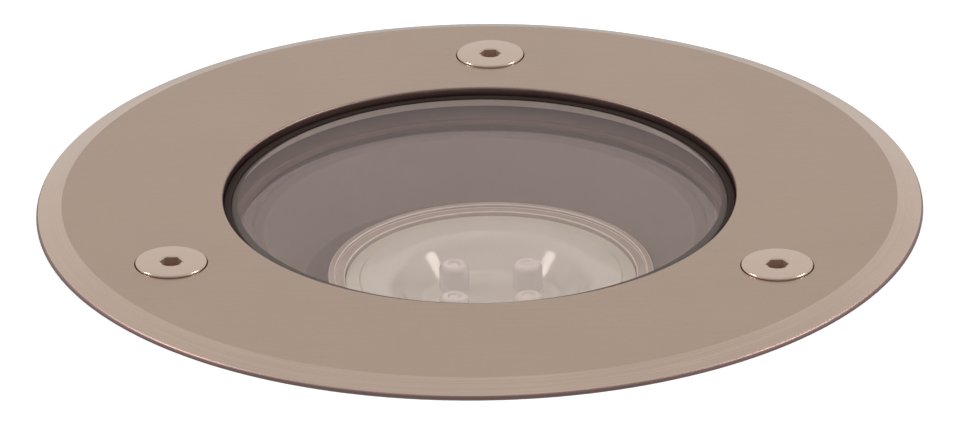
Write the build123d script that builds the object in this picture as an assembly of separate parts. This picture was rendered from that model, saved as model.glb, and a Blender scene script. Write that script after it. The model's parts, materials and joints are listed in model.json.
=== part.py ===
from build123d import *
import os
from math import cos, hypot, pi, radians, sin, tan

# An in-ground well light. A round steel cover, flush with the paving, clamps a stepped glass
# on a silicone gasket over a cast pot. A twist-lock reflector lamp stands upright in the pot,
# and the pot hangs by its cover in a plastic sleeve that stays in the ground.
# Millimetres. The origin is the centre of the cover at ground level, +Z is up and -Y is the front.

# ---------------------------------------------------------------- cover
cover_diameter = 135.0
cover_rise = 1.75          # top face above the ground
cover_thickness = 4.0      # of the part that drops into the sleeve
ring_band = 28.4           # from the opening to the outer edge
bevel_width = 3.9
bevel_angle = 17.0
edge_round = 0.65
opening_round = 0.35
rim_overhang = 7.0         # of the cover past the sleeve
rim_relief = 0.2           # raises the cover's underside over the sleeve's end
rim_relief_gap = 0.5       # of the relief past the sleeve

cover_r = cover_diameter / 2
face_r = cover_r - bevel_width
opening_r = cover_r - ring_band
cover_top = cover_rise
cover_under = cover_top - cover_thickness

# ---------------------------------------------------------------- ground sleeve
sleeve_depth = 145.0
sleeve_wall = 2.5
sleeve_foot_width = 6.0    # inward rim at the lower end
sleeve_foot_height = 3.0
notch_width = 16.0
notch_height = 22.0
flute_count = 12
flute_round = 3.0
flute_depth = 0.8
flute_top, flute_low = -22.0, -118.0
drop_in_gap = 0.5          # radial, of what hangs in the sleeve

sleeve_r = cover_r - rim_overhang
sleeve_bore_r = sleeve_r - sleeve_wall
hanging_r = sleeve_bore_r - drop_in_gap

# ---------------------------------------------------------------- cover screws
screw_count = 3
screw_turned_by = -2.2     # the pattern's turn from the back of the light, in degrees
thread_r = 2.5
shank_length = 12.0
head_r = 5.35
head_height = 2.4
head_proud = 0.35          # above the cover
head_edge_round = 0.3
socket_across_flats = 3.0
socket_depth = 1.5
head_gap = 0.15
screw_hole_gap = 0.25
washer_thickness = 0.7
washer_hole_gap = 0.08
thread_gap = 0.06          # radial running clearance in the inserts
boss_r = 5.5
insert_wall = 1.05
insert_length = 10.0
insert_gap = 0.02

screw_circle_r = hanging_r - boss_r
head_top = cover_top + head_proud
head_under = head_top - head_height
washer_under = head_under - washer_thickness
insert_r = thread_r + thread_gap + insert_wall

# ---------------------------------------------------------------- glass and gasket
glass_thickness = 8.0
glass_recess = 1.15        # of the glass below the cover's face
glass_gap = 1.3            # between the glass and the cover's opening
glass_edge_width = 0.9
glass_edge_drop = 0.5
glass_flange_width = 4.9   # of the clamped step past the opening
glass_corner = 0.5
gasket_thickness = 1.5
gasket_leg = 8.0           # lower leg, inward from the glass's edge
gasket_lip_below_glass = 0.15
rubber_gap = 0.05
gasket_drop_gap = 0.3      # between the gasket and the pot's recess

glass_top = cover_top - glass_recess
glass_under = glass_top - glass_thickness
glass_r = opening_r - glass_gap
glass_flange_r = opening_r + glass_flange_width
glass_step = cover_under - gasket_thickness
gasket_r = glass_flange_r + rubber_gap + gasket_thickness
gasket_leg_r = glass_flange_r - gasket_leg
gasket_under = glass_under - gasket_thickness
gasket_lip_top = glass_top - gasket_lip_below_glass

# ---------------------------------------------------------------- lamp
lamp_x = 1.6               # the lamp stands a little to the right of the cover's centre
lamp_diameter = 50.0
lamp_length = 46.5         # without its pins
lamp_depth = 18.65         # of its rim below the cover's face
rim_height = 2.6
rim_width = 2.6
rim_lip_width = 1.1
rim_step = 0.5
lens_below_rim = 0.9
lens_gap = 0.1
lens_bowl_r = 15.0         # upper edge of the sunk middle, whose side slopes at 45 degrees
lens_bowl_depth = 4.5
lens_bowl_wall = 1.7
lens_bowl_floor = 1.5
lens_cup_r = 2.3           # the cups stand round the bowl's middle
lens_cup_rise = 4.0
lens_cup_foot_r = 1.7
lens_cup_depth = 1.3       # of the cups' feet below the bowl
lens_cup_circle_r = 8.0
lamp_shoulder_depth = 8.0  # of the light board below the lamp body's mouth
lamp_wall = 1.8
lamp_mouth_wall = 3.5
lamp_neck_length = 13.4
lamp_base_r = 10.5
chip_size = 2.6
chip_height = 0.8
board_thickness = 1.2
board_gap = 0.2
driver_width = 13.0
driver_height = 16.0
pin_spacing = 10.0
pin_neck_r = 1.575
pin_head_r = 2.5
pin_head_height = 2.2
pin_length = 7.0

lamp_r = lamp_diameter / 2
lamp_top = cover_top - lamp_depth
lamp_mouth = lamp_top - rim_height
lens_top = lamp_top - lens_below_rim
lens_r = lamp_r - rim_width - lens_gap
lens_under = lamp_mouth
bowl_floor_r = lens_bowl_r - lens_bowl_depth
bowl_floor = lens_top - lens_bowl_depth
bowl_under = bowl_floor - lens_bowl_floor
lamp_shoulder = lamp_mouth - lamp_shoulder_depth
lamp_under = lamp_top - lamp_length
neck_top = lamp_under + lamp_neck_length
body_bore_r = lamp_r - lamp_mouth_wall
pin_tip = lamp_under - pin_length
board_top = lamp_shoulder + board_thickness

# ---------------------------------------------------------------- reflector
reflector_sheet = 0.8
mouth_inset = 6.1          # of the reflector's mouth from the cover's opening
reflector_recess = 0.7     # of the reflector's lip below the gasket's seat
reflector_seat = 0.7       # width of the lip that rests on the pot's ledge
reflector_side_gap = 0.2
lamp_side_gap = 0.4        # at the side to which the lamp stands
lamp_stands_out = 1.3      # of the lamp's rim above the reflector's lower edge
reflector_collar = 6.0

mouth_r = opening_r - mouth_inset
bore_r = mouth_r + reflector_sheet + reflector_side_gap
reflector_top = gasket_under - reflector_recess
ledge = reflector_top - reflector_sheet
reflector_low = lamp_top - lamp_stands_out
lamp_hole_r = lamp_r + abs(lamp_x) + lamp_side_gap
reflector_lip_r = bore_r + reflector_seat

# ---------------------------------------------------------------- lampholder and its bridge
turn_gap = 0.3             # between faces and pins that pass each other as the lamp turns
unlock_turn = 24.0         # degrees
holder_r = 13.5
holder_height = 16.0
keyhole_plate = 3.5
keyhole_depth = 4.8
contact_thickness = 1.0
contact_post_r = 1.0
contact_post_length = 5.0
bridge_sheet = 1.2
bridge_half_length = 24.0
bridge_half_width = 13.0
leg_half_width = 6.0
foot_length = 7.0
foot_boss_height = 3.0
foot_boss_r = 3.6
small_screw_r = 1.5
small_head_r = 2.8
small_head_height = 1.6
holder_screw_y = 9.5
holder_screw_length = 7.0
foot_screw_length = 6.0
wiring_room = 24.0         # from the bridge down to the pot's floor
small_gap = 0.05

holder_top = lamp_under - turn_gap
holder_under = holder_top - holder_height
keyhole_under = holder_top - keyhole_plate - keyhole_depth
bridge_under = holder_under - bridge_sheet
pot_floor = bridge_under - wiring_room
foot_x = bridge_half_length + foot_length / 2
foot_under = pot_floor + foot_boss_height

# ---------------------------------------------------------------- pot
pot_wall = 3.5
pot_flange = 5.0
seal_gap = 0.5             # left between the cover and the pot when the gasket is squeezed
pot_draft = 0.3            # degrees
shelf_cone = 6.0
fin_count = 6              # every second one carries a screw boss
fin_thickness = 2.4
fin_low = 42.0             # below the shelf
insert_boss_below = 3.0
entry_boss_r = 11.5
entry_boss_height = 4.5
entry_y = 19.0
entry_r = 8.0
entry_gap = 0.03

pot_top = cover_under - seal_gap
recess_r = gasket_r + gasket_drop_gap
shelf_bore_r = reflector_lip_r + reflector_side_gap
bore_low_r = bore_r - (ledge - pot_floor) * tan(radians(pot_draft))
collar_r = recess_r + pot_wall
pot_r = bore_r + pot_wall
pot_low_r = bore_low_r + pot_wall
pot_under = pot_floor - pot_wall
entry_under = pot_under - entry_boss_height
insert_under = pot_top - insert_length

# ---------------------------------------------------------------- cable gland and blanking plug
entry_washer = 1.0
entry_washer_width = 2.4
hexagon_across_flats = 20.0
hexagon_height = 5.0
gland_bore_r = 5.2
gland_stub_wall = 1.1
gland_stub_length = 6.0
gland_seal_wall = 2.2
cord_r = 4.3               # bore of the seal, for a round outdoor cord
seal_length = 6.5
seal_stands_out = 1.5      # of the gland's stub
nut_hexagon_gap = 0.5
nut_corner_cut = 1.1       # the dome's radius over half the nut's width across flats
nut_gap = 0.1
nut_end = 3.0
nut_mouth_r = 5.0
nut_round = 1.5

hexagon_top = entry_under - entry_washer
hexagon_under = hexagon_top - hexagon_height
seal_r = cord_r + gland_seal_wall
stub_bore_r = seal_r + small_gap
stub_r = stub_bore_r + gland_stub_wall
stub_under = hexagon_under - gland_stub_length
seal_under = stub_under - seal_stands_out
seal_top = seal_under + seal_length
nut_top = hexagon_under - nut_hexagon_gap
nut_bore_r = stub_r + nut_gap
nut_under = seal_under - nut_end

# ---------------------------------------------------------------- terminals, earth point and leads
pole_count = 3
pole_spacing = 9.0
block_length = 27.0
block_depth = 15.0
block_height = 11.0
tube_r = 2.5
tube_bore_r = 1.3
terminal_screw_y = 4.0
terminal_screw_below = 1.0 # of a terminal screw below the block's top
block_head_r = 1.8
block_head_below = 0.2
slot_width = 0.5
slot_depth = 0.8
lead_r = 0.8
lead_entry = 4.5           # length of a lead inside its terminal
lead_gap = 0.25
lead_sweep_y = -22.0       # where the leads drop past the bridge
post_lead_height = 1.5     # of a lead above the lower end of its contact's post
earth_x, earth_y = 22.0, -17.0
earth_boss_height = 2.0
earth_boss_r = 4.0
earth_screw_r = 2.0
earth_head_r = 3.8
earth_head_height = 2.4
earth_screw_length = 5.0
tag_r = 4.0
tag_thickness = 0.8
barrel_r = 1.5
barrel_start = 4.4         # from the earth screw's centre
barrel_length = 4.6
lead_in_barrel = 3.0
lead_before_barrel = 9.0   # straight stretch of the earth lead outside the barrel
earth_tag_angle = 206.6    # the way the crimp barrel points from the earth screw

block_top = pot_floor + block_height
tube_height = pot_floor + block_height / 2
earth_seat = pot_floor + earth_boss_height
post_under = keyhole_under - contact_post_length
post_lead_z = post_under + post_lead_height


def at_angle(radius, angle):
    """Point on a circle about the origin, with the angle in degrees from +X."""
    return (radius * cos(radians(angle)), radius * sin(radians(angle)))


def turned(*outline, at=(0, 0)):
    """Solid of revolution about the upright line at a point, from edges drawn as (radius, height)."""
    edges = [Plane.XZ * edge for edge in outline]
    return Pos(*at, 0) * revolve(make_face(edges), Axis.Z)


def turned_points(*points, at=(0, 0)):
    """Solid of revolution whose half outline is made of straight lines only."""
    return turned(Polyline(*points, close=True), at=at)


def pipe(r_out, r_in, low, high, at=(0, 0)):
    """Upright round pipe between two heights."""
    return turned_points((r_in, low), (r_out, low), (r_out, high), (r_in, high), at=at)


def rod(radius, low, high, at=(0, 0)):
    """Upright round rod between two heights."""
    up_from_low = (Align.CENTER, Align.CENTER, Align.MIN)
    return Pos(*at, low) * Cylinder(radius, high - low, align=up_from_low)


def rod_along_y(radius, y_low, y_high, x, z):
    """Round rod that lies along Y."""
    middle = (y_low + y_high) / 2
    return Pos(x, middle, z) * Rot(90, 0, 0) * Cylinder(radius, y_high - y_low)


def block(x_span, y_span, z_span):
    """Box between two values on each axis."""
    spans = (x_span, y_span, z_span)
    sizes = [high - low for low, high in spans]
    middle = [(low + high) / 2 for low, high in spans]
    return Pos(*middle) * Box(*sizes)


def hexagon(across_flats, low, high, at):
    """Upright hexagonal bar between two heights, with corners to its left and right."""
    outline = RegularPolygon(across_flats / 2, 6, major_radius=False)
    return Pos(*at, low) * extrude(outline, high - low)


def arc_slot(mid_r, half_width, start, end, low, high):
    """Round-ended slot along an arc about the origin, from one angle to another, in degrees."""
    section = Plane.XZ * Pos(mid_r, (low + high) / 2) * Rectangle(2 * half_width, high - low)
    slot = Rot(0, 0, start) * revolve(section, Axis.Z, revolution_arc=end - start)
    for angle in (start, end):
        slot += rod(half_width, low, high, at_angle(mid_r, angle))
    return slot


def filleted_lead(points):
    """Insulated lead along straight runs joined by tangent arcs as large as the runs allow."""
    runs = [Vector(*b) - Vector(*a) for a, b in zip(points, points[1:])]
    radii = []
    for before, after in zip(runs, runs[1:]):
        half_turn = radians(before.get_angle(after)) / 2
        radii.append(0.45 * min(before.length, after.length) / tan(half_turn))
    print("lead bend radii:", ", ".join(f"{radius:.1f}" for radius in radii))
    path = FilletPolyline(*points, radius=radii)
    section = Plane(origin=path @ 0, z_dir=path % 0) * Circle(lead_r)
    lead = sweep(section, path)
    print(f"  volume over section times length: {lead.volume / (pi * lead_r**2 * path.length):.4f}")
    return lead


def spread(pieces):
    """Like pieces that share one node as separate solids."""
    return Compound(children=[piece.solid() for piece in pieces])


screw_places = [
    at_angle(screw_circle_r, 90 + screw_turned_by + 360 / screw_count * i) for i in range(screw_count)
]
entry_places = {"gland": (0, entry_y), "plug": (0, -entry_y)}
foot_places = [(foot_x, 0), (-foot_x, 0)]
holder_screw_places = [(lamp_x, holder_screw_y), (lamp_x, -holder_screw_y)]
pole_places = [(i - (pole_count - 1) / 2) * pole_spacing for i in range(pole_count)]
block_screw_places = [(x + pole_spacing / 2, 0) for x in pole_places[:-1]]
cup_angles = [45 + 90 * i for i in range(4)]


# ---------------------------------------------------------------- cover group
def make_cover_ring():
    """Turned steel ring with a bevelled edge, a relief over the sleeve and three screw recesses."""
    edge_x = cover_r - edge_round
    bevel_end_x = edge_x + edge_round * sin(radians(bevel_angle))
    bevel_end_z = cover_top - (bevel_end_x - face_r) * tan(radians(bevel_angle))
    edge_z = bevel_end_z - edge_round * cos(radians(bevel_angle))
    ring = turned(
        Polyline(
            (opening_r, cover_top - opening_round),
            (opening_r, cover_under),
            (hanging_r, cover_under),
            (hanging_r, rim_relief),
            (sleeve_r + rim_relief_gap, rim_relief),
            (sleeve_r + rim_relief_gap, 0),
            (cover_r, 0),
            (cover_r, edge_z),
        ),
        CenterArc((edge_x, edge_z), edge_round, 0, 90 - bevel_angle),
        Polyline((bevel_end_x, bevel_end_z), (face_r, cover_top), (opening_r + opening_round, cover_top)),
        CenterArc((opening_r + opening_round, cover_top - opening_round), opening_round, 90, 90),
    )
    for place in screw_places:
        ring -= rod(head_r + head_gap, washer_under, head_top, place)
        ring -= rod(thread_r + screw_hole_gap, cover_under, head_top, place)
    return ring


def make_glass_lens():
    """Round glass whose lower part steps out under the cover."""
    return turned_points(
        (0, glass_under),
        (glass_flange_r - glass_corner, glass_under),
        (glass_flange_r, glass_under + glass_corner),
        (glass_flange_r, glass_step - glass_corner),
        (glass_flange_r - glass_corner, glass_step),
        (glass_r, glass_step),
        (glass_r, glass_top - glass_edge_drop),
        (glass_r - glass_edge_width, glass_top),
        (0, glass_top),
    )


def make_glass_gasket():
    """Silicone gasket wrapped round the glass's step, with a lip up into the cover's opening."""
    inside_r = glass_flange_r + rubber_gap
    return turned_points(
        (gasket_leg_r, glass_under),
        (gasket_leg_r, gasket_under),
        (gasket_r, gasket_under),
        (gasket_r, cover_under),
        (opening_r - rubber_gap, cover_under),
        (opening_r - rubber_gap, gasket_lip_top),
        (glass_r + rubber_gap, gasket_lip_top),
        (glass_r + rubber_gap, glass_step),
        (inside_r, glass_step),
        (inside_r, glass_under),
    )


def make_cover_screw(place):
    """Low flat-headed screw with a hexagon socket and a rounded edge on its head."""
    head = turned(
        Polyline(
            (0, head_top),
            (0, head_under),
            (head_r, head_under),
            (head_r, head_top - head_edge_round),
        ),
        CenterArc((head_r - head_edge_round, head_top - head_edge_round), head_edge_round, 0, 90),
        Line((head_r - head_edge_round, head_top), (0, head_top)),
        at=place,
    )
    shank = rod(thread_r, head_under - shank_length, head_under, place)
    socket = hexagon(socket_across_flats, head_top - socket_depth, head_top, place)
    return head + shank - socket


def make_screw_washer(place):
    """Sealing washer under a cover screw's head."""
    return pipe(head_r, thread_r + washer_hole_gap, washer_under, head_under, place)


# ---------------------------------------------------------------- ground sleeve
def make_ground_sleeve():
    """Open plastic tube with outer flutes, an inward foot and two cable notches at its lower end."""
    sleeve = turned_points(
        (sleeve_bore_r - sleeve_foot_width, -sleeve_depth),
        (sleeve_r, -sleeve_depth),
        (sleeve_r, 0),
        (sleeve_bore_r, 0),
        (sleeve_bore_r, -sleeve_depth + sleeve_foot_height),
        (sleeve_bore_r - sleeve_foot_width, -sleeve_depth + sleeve_foot_height),
    )
    notch_top = -sleeve_depth + notch_height - notch_width / 2
    straight = block((-sleeve_r, sleeve_r), (-notch_width / 2, notch_width / 2), (-sleeve_depth, notch_top))
    arch = Pos(0, 0, notch_top) * Rot(0, 90, 0) * Cylinder(notch_width / 2, 2 * sleeve_r)
    sleeve -= straight + arch
    for i in range(flute_count):
        place = at_angle(sleeve_r + flute_round - flute_depth, 180 / flute_count * (2 * i + 1))
        sleeve -= rod(flute_round, flute_low, flute_top, place)
    return sleeve


# ---------------------------------------------------------------- pot
def make_pot():
    """Cast pot: flange, gasket recess, reflector ledge, tapered body, fins and bosses."""
    shelf = gasket_under
    pot = turned_points(
        (0, pot_floor),
        (bore_low_r, pot_floor),
        (bore_r, ledge),
        (shelf_bore_r, ledge),
        (shelf_bore_r, shelf),
        (recess_r, shelf),
        (recess_r, pot_top),
        (hanging_r, pot_top),
        (hanging_r, pot_top - pot_flange),
        (collar_r, pot_top - pot_flange),
        (collar_r, shelf - pot_wall / 2),
        (pot_r, shelf - pot_wall / 2 - shelf_cone),
        (pot_low_r, pot_under),
        (0, pot_under),
    )
    inner_r = bore_r + pot_wall / 2
    fin_outline = Plane.XZ * make_face(
        Polyline(
            (inner_r, shelf - pot_wall / 2),
            (collar_r, shelf - pot_wall / 2),
            (pot_r + 1, shelf - fin_low),
            (inner_r, shelf - fin_low),
            close=True,
        )
    )
    fin = extrude(fin_outline, fin_thickness / 2, both=True)
    for i in range(fin_count):
        pot += Rot(0, 0, 90 + screw_turned_by + 360 / fin_count * i) * fin
    for place in screw_places:
        pot += rod(boss_r, insert_under - insert_boss_below, pot_top, place)
    for place in entry_places.values():
        pot += rod(entry_boss_r, entry_under, pot_floor, place)
    for place in foot_places:
        pot += rod(foot_boss_r, pot_under, foot_under, place)
    pot += rod(earth_boss_r, pot_under, earth_seat, (earth_x, earth_y))

    for place in screw_places:
        pot -= rod(insert_r + insert_gap, insert_under, pot_top, place)
        pot -= rod(thread_r + screw_hole_gap, insert_under - insert_boss_below / 2, pot_top, place)
    for place in entry_places.values():
        pot -= rod(entry_r, entry_under, pot_floor, place)
    foot_screw_tip = foot_under + bridge_sheet - foot_screw_length
    for place in foot_places:
        pot -= rod(small_screw_r + small_gap, foot_screw_tip, foot_under, place)
    for place in block_screw_places:
        pot -= rod(small_screw_r + small_gap, pot_floor - pot_wall / 2, pot_floor, place)
    earth_tip = earth_seat + tag_thickness - earth_screw_length
    pot -= rod(earth_screw_r + small_gap, earth_tip, earth_seat, (earth_x, earth_y))
    return pot


def make_insert(place):
    """Brass thread insert for a cover screw."""
    return pipe(insert_r, thread_r + thread_gap, insert_under, pot_top, place)


def make_reflector():
    """Spun aluminium cone with a lip on the pot's ledge and a collar round the lamp."""
    slope_height = reflector_top - reflector_low
    slope_width = mouth_r - lamp_hole_r
    sheet_across = reflector_sheet * hypot(slope_height, slope_width) / slope_height
    outside_low = reflector_low - (sheet_across - reflector_sheet) * slope_height / slope_width
    outside_at_ledge = mouth_r + sheet_across - reflector_sheet * slope_width / slope_height
    return turned_points(
        (mouth_r, reflector_top),
        (reflector_lip_r, reflector_top),
        (reflector_lip_r, ledge),
        (outside_at_ledge, ledge),
        (lamp_hole_r + reflector_sheet, outside_low),
        (lamp_hole_r + reflector_sheet, reflector_low - reflector_collar),
        (lamp_hole_r, reflector_low - reflector_collar),
        (lamp_hole_r, reflector_low),
    )


# ---------------------------------------------------------------- lamp
def lamp_place(piece):
    """Move a piece that is drawn about the origin onto the lamp's axis."""
    return Pos(lamp_x, 0, 0) * piece


def make_lamp_body():
    """Lamp's tapered body: a mouth with a shoulder for the light board, and a closed neck."""
    taper_x = lamp_r - lamp_wall
    inside_r = body_bore_r - lamp_wall
    middle_z = (lamp_shoulder + neck_top) / 2
    middle_x = (taper_x + lamp_base_r) / 2 + lamp_wall
    return lamp_place(
        turned(
            Polyline(
                (0, neck_top + lamp_wall),
                (0, neck_top),
                (lamp_base_r, neck_top),
            ),
            ThreePointArc((lamp_base_r, neck_top), (middle_x, middle_z), (taper_x, lamp_shoulder)),
            Polyline(
                (taper_x, lamp_shoulder),
                (lamp_r - small_gap, lamp_mouth),
                (body_bore_r, lamp_mouth),
                (body_bore_r, lamp_shoulder),
                (inside_r, lamp_shoulder),
                (lamp_base_r - lamp_wall, neck_top + lamp_wall),
                (0, neck_top + lamp_wall),
            ),
        )
    )


def make_lamp_rim():
    """Clear stepped ring that holds the lens in the lamp's mouth."""
    lip_in_r = lamp_r - rim_lip_width
    inner_r = lamp_r - rim_width
    return lamp_place(
        turned_points(
            (inner_r, lamp_mouth),
            (lamp_r, lamp_mouth),
            (lamp_r, lamp_top),
            (lip_in_r, lamp_top),
            (lip_in_r, lamp_top - rim_step),
            (inner_r, lamp_top - rim_step),
        )
    )


def make_lamp_lens():
    """Lens disc with a sunk middle, from which four cups reach down to the chips."""
    outside_shift = lens_bowl_wall * 2**0.5
    lens = turned_points(
        (0, bowl_under),
        (bowl_floor_r - lens_bowl_floor + outside_shift, bowl_under),
        (bowl_floor_r + lens_under - bowl_floor + outside_shift, lens_under),
        (lens_r, lens_under),
        (lens_r, lens_top),
        (lens_bowl_r, lens_top),
        (bowl_floor_r, bowl_floor),
        (0, bowl_floor),
    )
    cup = turned_points(
        (0, bowl_under - lens_cup_depth),
        (lens_cup_foot_r, bowl_under - lens_cup_depth),
        (lens_cup_r, bowl_under),
        (lens_cup_r, bowl_floor + lens_cup_rise),
        (0, bowl_floor + lens_cup_rise),
    )
    for angle in cup_angles:
        lens += Pos(*at_angle(lens_cup_circle_r, angle), 0) * cup
    return lamp_place(lens)


def make_light_board():
    """Round metal-cored board on the shoulder inside the lamp."""
    return lamp_place(rod(body_bore_r - board_gap, lamp_shoulder, board_top))


def make_light_chip(angle):
    """One square light-emitting chip under its lens cup."""
    half = chip_size / 2
    chip = block((-half, half), (-half, half), (board_top, board_top + chip_height))
    return lamp_place(Pos(*at_angle(lens_cup_circle_r, angle), 0) * chip)


def make_driver_board():
    """Upright driver board that stands in the lamp's neck."""
    half = driver_width / 2
    seat = neck_top + lamp_wall
    across = (-board_thickness / 2, board_thickness / 2)
    return lamp_place(block((-half, half), across, (seat, seat + driver_height)))


def make_lamp_base():
    """Moulded cap that carries the lamp's two pins."""
    return lamp_place(rod(lamp_base_r, lamp_under, neck_top))


def make_lamp_pin(side):
    """Headed twist-lock pin, at the right of the lamp's axis for 1 and at its left for -1."""
    place = (side * pin_spacing / 2, 0)
    neck = rod(pin_neck_r, pin_tip + pin_head_height, lamp_under, place)
    head = rod(pin_head_r, pin_tip, pin_tip + pin_head_height, place)
    return lamp_place(neck + head)


# ---------------------------------------------------------------- lampholder and bridge
def make_lampholder():
    """Porcelain lampholder with two arc keyholes, contact pockets and side holes for the leads."""
    holder = rod(holder_r, holder_under, holder_top)
    mid_r = pin_spacing / 2
    neck_half = pin_neck_r + turn_gap
    head_half = pin_head_r + turn_gap
    for start in (0, 180):
        end = start + unlock_turn
        holder -= arc_slot(mid_r, neck_half, start, end, keyhole_under, holder_top)
        holder -= arc_slot(mid_r, head_half, start, end, keyhole_under, holder_top - keyhole_plate)
        holder -= rod(head_half, keyhole_under, holder_top, at_angle(mid_r, end))
        x, y = at_angle(mid_r, start)
        holder -= rod(contact_post_r + small_gap, post_under, keyhole_under, (x, y))
        holder -= rod_along_y(lead_r + lead_gap, -holder_r, 0, x, post_lead_z)
    for x, y in holder_screw_places:
        tip = holder_under - bridge_sheet + holder_screw_length
        holder -= rod(small_screw_r + small_gap, holder_under, tip, (x - lamp_x, y))
    return lamp_place(holder)


def make_holder_contact(start):
    """Brass contact: an arc leaf at the foot of a keyhole, on a post down to its lead."""
    mid_r = pin_spacing / 2
    leaf_top = keyhole_under + contact_thickness
    leaf = arc_slot(mid_r, pin_neck_r, start, start + unlock_turn / 2, keyhole_under, leaf_top)
    post = rod(contact_post_r, post_under, leaf_top, at_angle(mid_r, start))
    return lamp_place(leaf + post)


def make_bridge():
    """Bent steel bridge that carries the lampholder above the wiring room."""
    length, sheet = bridge_half_length, bridge_sheet
    bridge = block((-length, length), (-bridge_half_width, bridge_half_width), (bridge_under, holder_under))
    leg_width = (-leg_half_width, leg_half_width)
    for side in (1, -1):
        leg_span = sorted((side * (length - sheet), side * length))
        foot_span = sorted((side * (length - sheet), side * (length + foot_length)))
        bridge += block(leg_span, leg_width, (foot_under, bridge_under))
        bridge += block(foot_span, leg_width, (foot_under, foot_under + sheet))
    for place in foot_places:
        bridge -= rod(small_screw_r + screw_hole_gap, foot_under, foot_under + sheet, place)
    for place in holder_screw_places:
        bridge -= rod(small_screw_r + screw_hole_gap, bridge_under, holder_under, place)
    return bridge


def make_small_screw(place, seat, length, up=False):
    """Pan-headed screw. Its head's flat side is at the seat, and its shank goes down, or up."""
    way = -1 if up else 1
    head_span = sorted((seat, seat + way * small_head_height))
    shank_span = sorted((seat, seat - way * length))
    slot_span = sorted((seat + way * small_head_height / 2, seat + way * small_head_height))
    screw = rod(small_head_r, *head_span, place) + rod(small_screw_r, *shank_span, place)
    slot = block((-small_head_r, small_head_r), (-small_head_height / 4, small_head_height / 4), slot_span)
    return screw - Pos(*place, 0) * slot


# ---------------------------------------------------------------- wiring
def make_terminal_block():
    """Insulating block with three through bores and a screw well at each end of a pole."""
    x_half, y_half = block_length / 2, block_depth / 2
    body = block((-x_half, x_half), (-y_half, y_half), (pot_floor, block_top))
    for x in pole_places:
        body -= rod_along_y(tube_r + small_gap, -y_half, y_half, x, tube_height)
        for y in (terminal_screw_y, -terminal_screw_y):
            body -= rod(small_screw_r + small_gap, tube_height, block_top, (x, y))
    for place in block_screw_places:
        body -= rod(small_screw_r + small_gap, pot_floor, block_top, place)
        body -= rod(block_head_r, block_top - small_head_height, block_top, place)
    return body


def make_terminal_tube(x):
    """Brass terminal tube with two tapped holes."""
    half = block_depth / 2
    tube = rod_along_y(tube_r, -half, half, x, tube_height)
    tube -= rod_along_y(tube_bore_r, -half, half, x, tube_height)
    for y in (terminal_screw_y, -terminal_screw_y):
        tube -= rod(small_screw_r + small_gap, tube_height, tube_height + tube_r, (x, y))
    return tube


def make_terminal_screw(x, y):
    """Slotted grub screw that clamps a wire in its terminal tube."""
    top = block_top - terminal_screw_below
    screw = rod(small_screw_r, tube_height + lead_r + lead_gap, top, (x, y))
    slot = block((-small_screw_r, small_screw_r), (-slot_width / 2, slot_width / 2), (top - slot_depth, top))
    return screw - Pos(x, y, 0) * slot


def make_block_screw(place):
    """Thin cheese-headed screw that fixes the terminal block to the pot's floor."""
    head_seat = block_top - small_head_height
    shank = rod(small_screw_r, pot_floor - pot_wall / 2, head_seat, place)
    return shank + rod(block_head_r - small_gap, head_seat, block_top - block_head_below, place)


def make_earth_tag():
    """Ring tag on the earth boss, with a crimp barrel that faces the earth lead."""
    low, high = earth_seat, earth_seat + tag_thickness
    barrel_end = barrel_start + barrel_length
    lengthways = Pos(barrel_end, 0, low + barrel_r) * Rot(0, -90, 0)
    tag = rod(tag_r, low, high) + block((0, barrel_end), (-barrel_r, barrel_r), (low, high))
    tag += lengthways * Cylinder(barrel_r, barrel_length, align=(Align.CENTER, Align.CENTER, Align.MIN))
    tag -= lengthways * Cylinder(lead_r + small_gap, 2 * (lead_in_barrel + lead_gap))
    tag -= rod(earth_screw_r + screw_hole_gap, low, high)
    return Pos(earth_x, earth_y, 0) * Rot(0, 0, earth_tag_angle) * tag


def make_earth_screw():
    """Earth screw with a cross slot in its pan head."""
    seat = earth_seat + tag_thickness
    place = (earth_x, earth_y)
    top = seat + earth_head_height
    head = rod(earth_head_r, seat, top, place)
    shank = rod(earth_screw_r, seat - earth_screw_length, seat, place)
    across = (-slot_width / 2, slot_width / 2)
    arm = block((-earth_screw_r, earth_screw_r), across, (top - 2 * slot_depth, top))
    cross = arm + Rot(0, 0, 90) * arm
    return head + shank - Pos(*place, 0) * cross


def make_holder_lead(side):
    """Lead from a contact's post, out of the lampholder's side, down and back into its terminal."""
    post_x = lamp_x + side * pin_spacing / 2
    pole_x = pole_places[2] if side > 0 else pole_places[1]
    return filleted_lead(
        [
            (post_x, -contact_post_r - small_gap, post_lead_z),
            (post_x, lead_sweep_y, post_lead_z),
            (pole_x, lead_sweep_y, tube_height),
            (pole_x, -block_depth / 2 + lead_entry, tube_height),
        ]
    )


def make_earth_lead():
    """Earth lead from the left terminal, low round the front of the block, to the earth tag."""
    pole_x = pole_places[0]
    barrel_end = barrel_start + barrel_length
    in_barrel_x, in_barrel_y = at_angle(barrel_end - lead_in_barrel, earth_tag_angle)
    before_x, before_y = at_angle(barrel_end + lead_before_barrel, earth_tag_angle)
    return filleted_lead(
        [
            (pole_x, -block_depth / 2 + lead_entry, tube_height),
            (pole_x, -block_depth / 2 - 6.5, tube_height),
            (pole_x + 5, -block_depth / 2 - 15, pot_floor + 3 * lead_r),
            (earth_x + before_x, earth_y + before_y, earth_seat + barrel_r),
            (earth_x + in_barrel_x, earth_y + in_barrel_y, earth_seat + barrel_r),
        ]
    )


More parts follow.
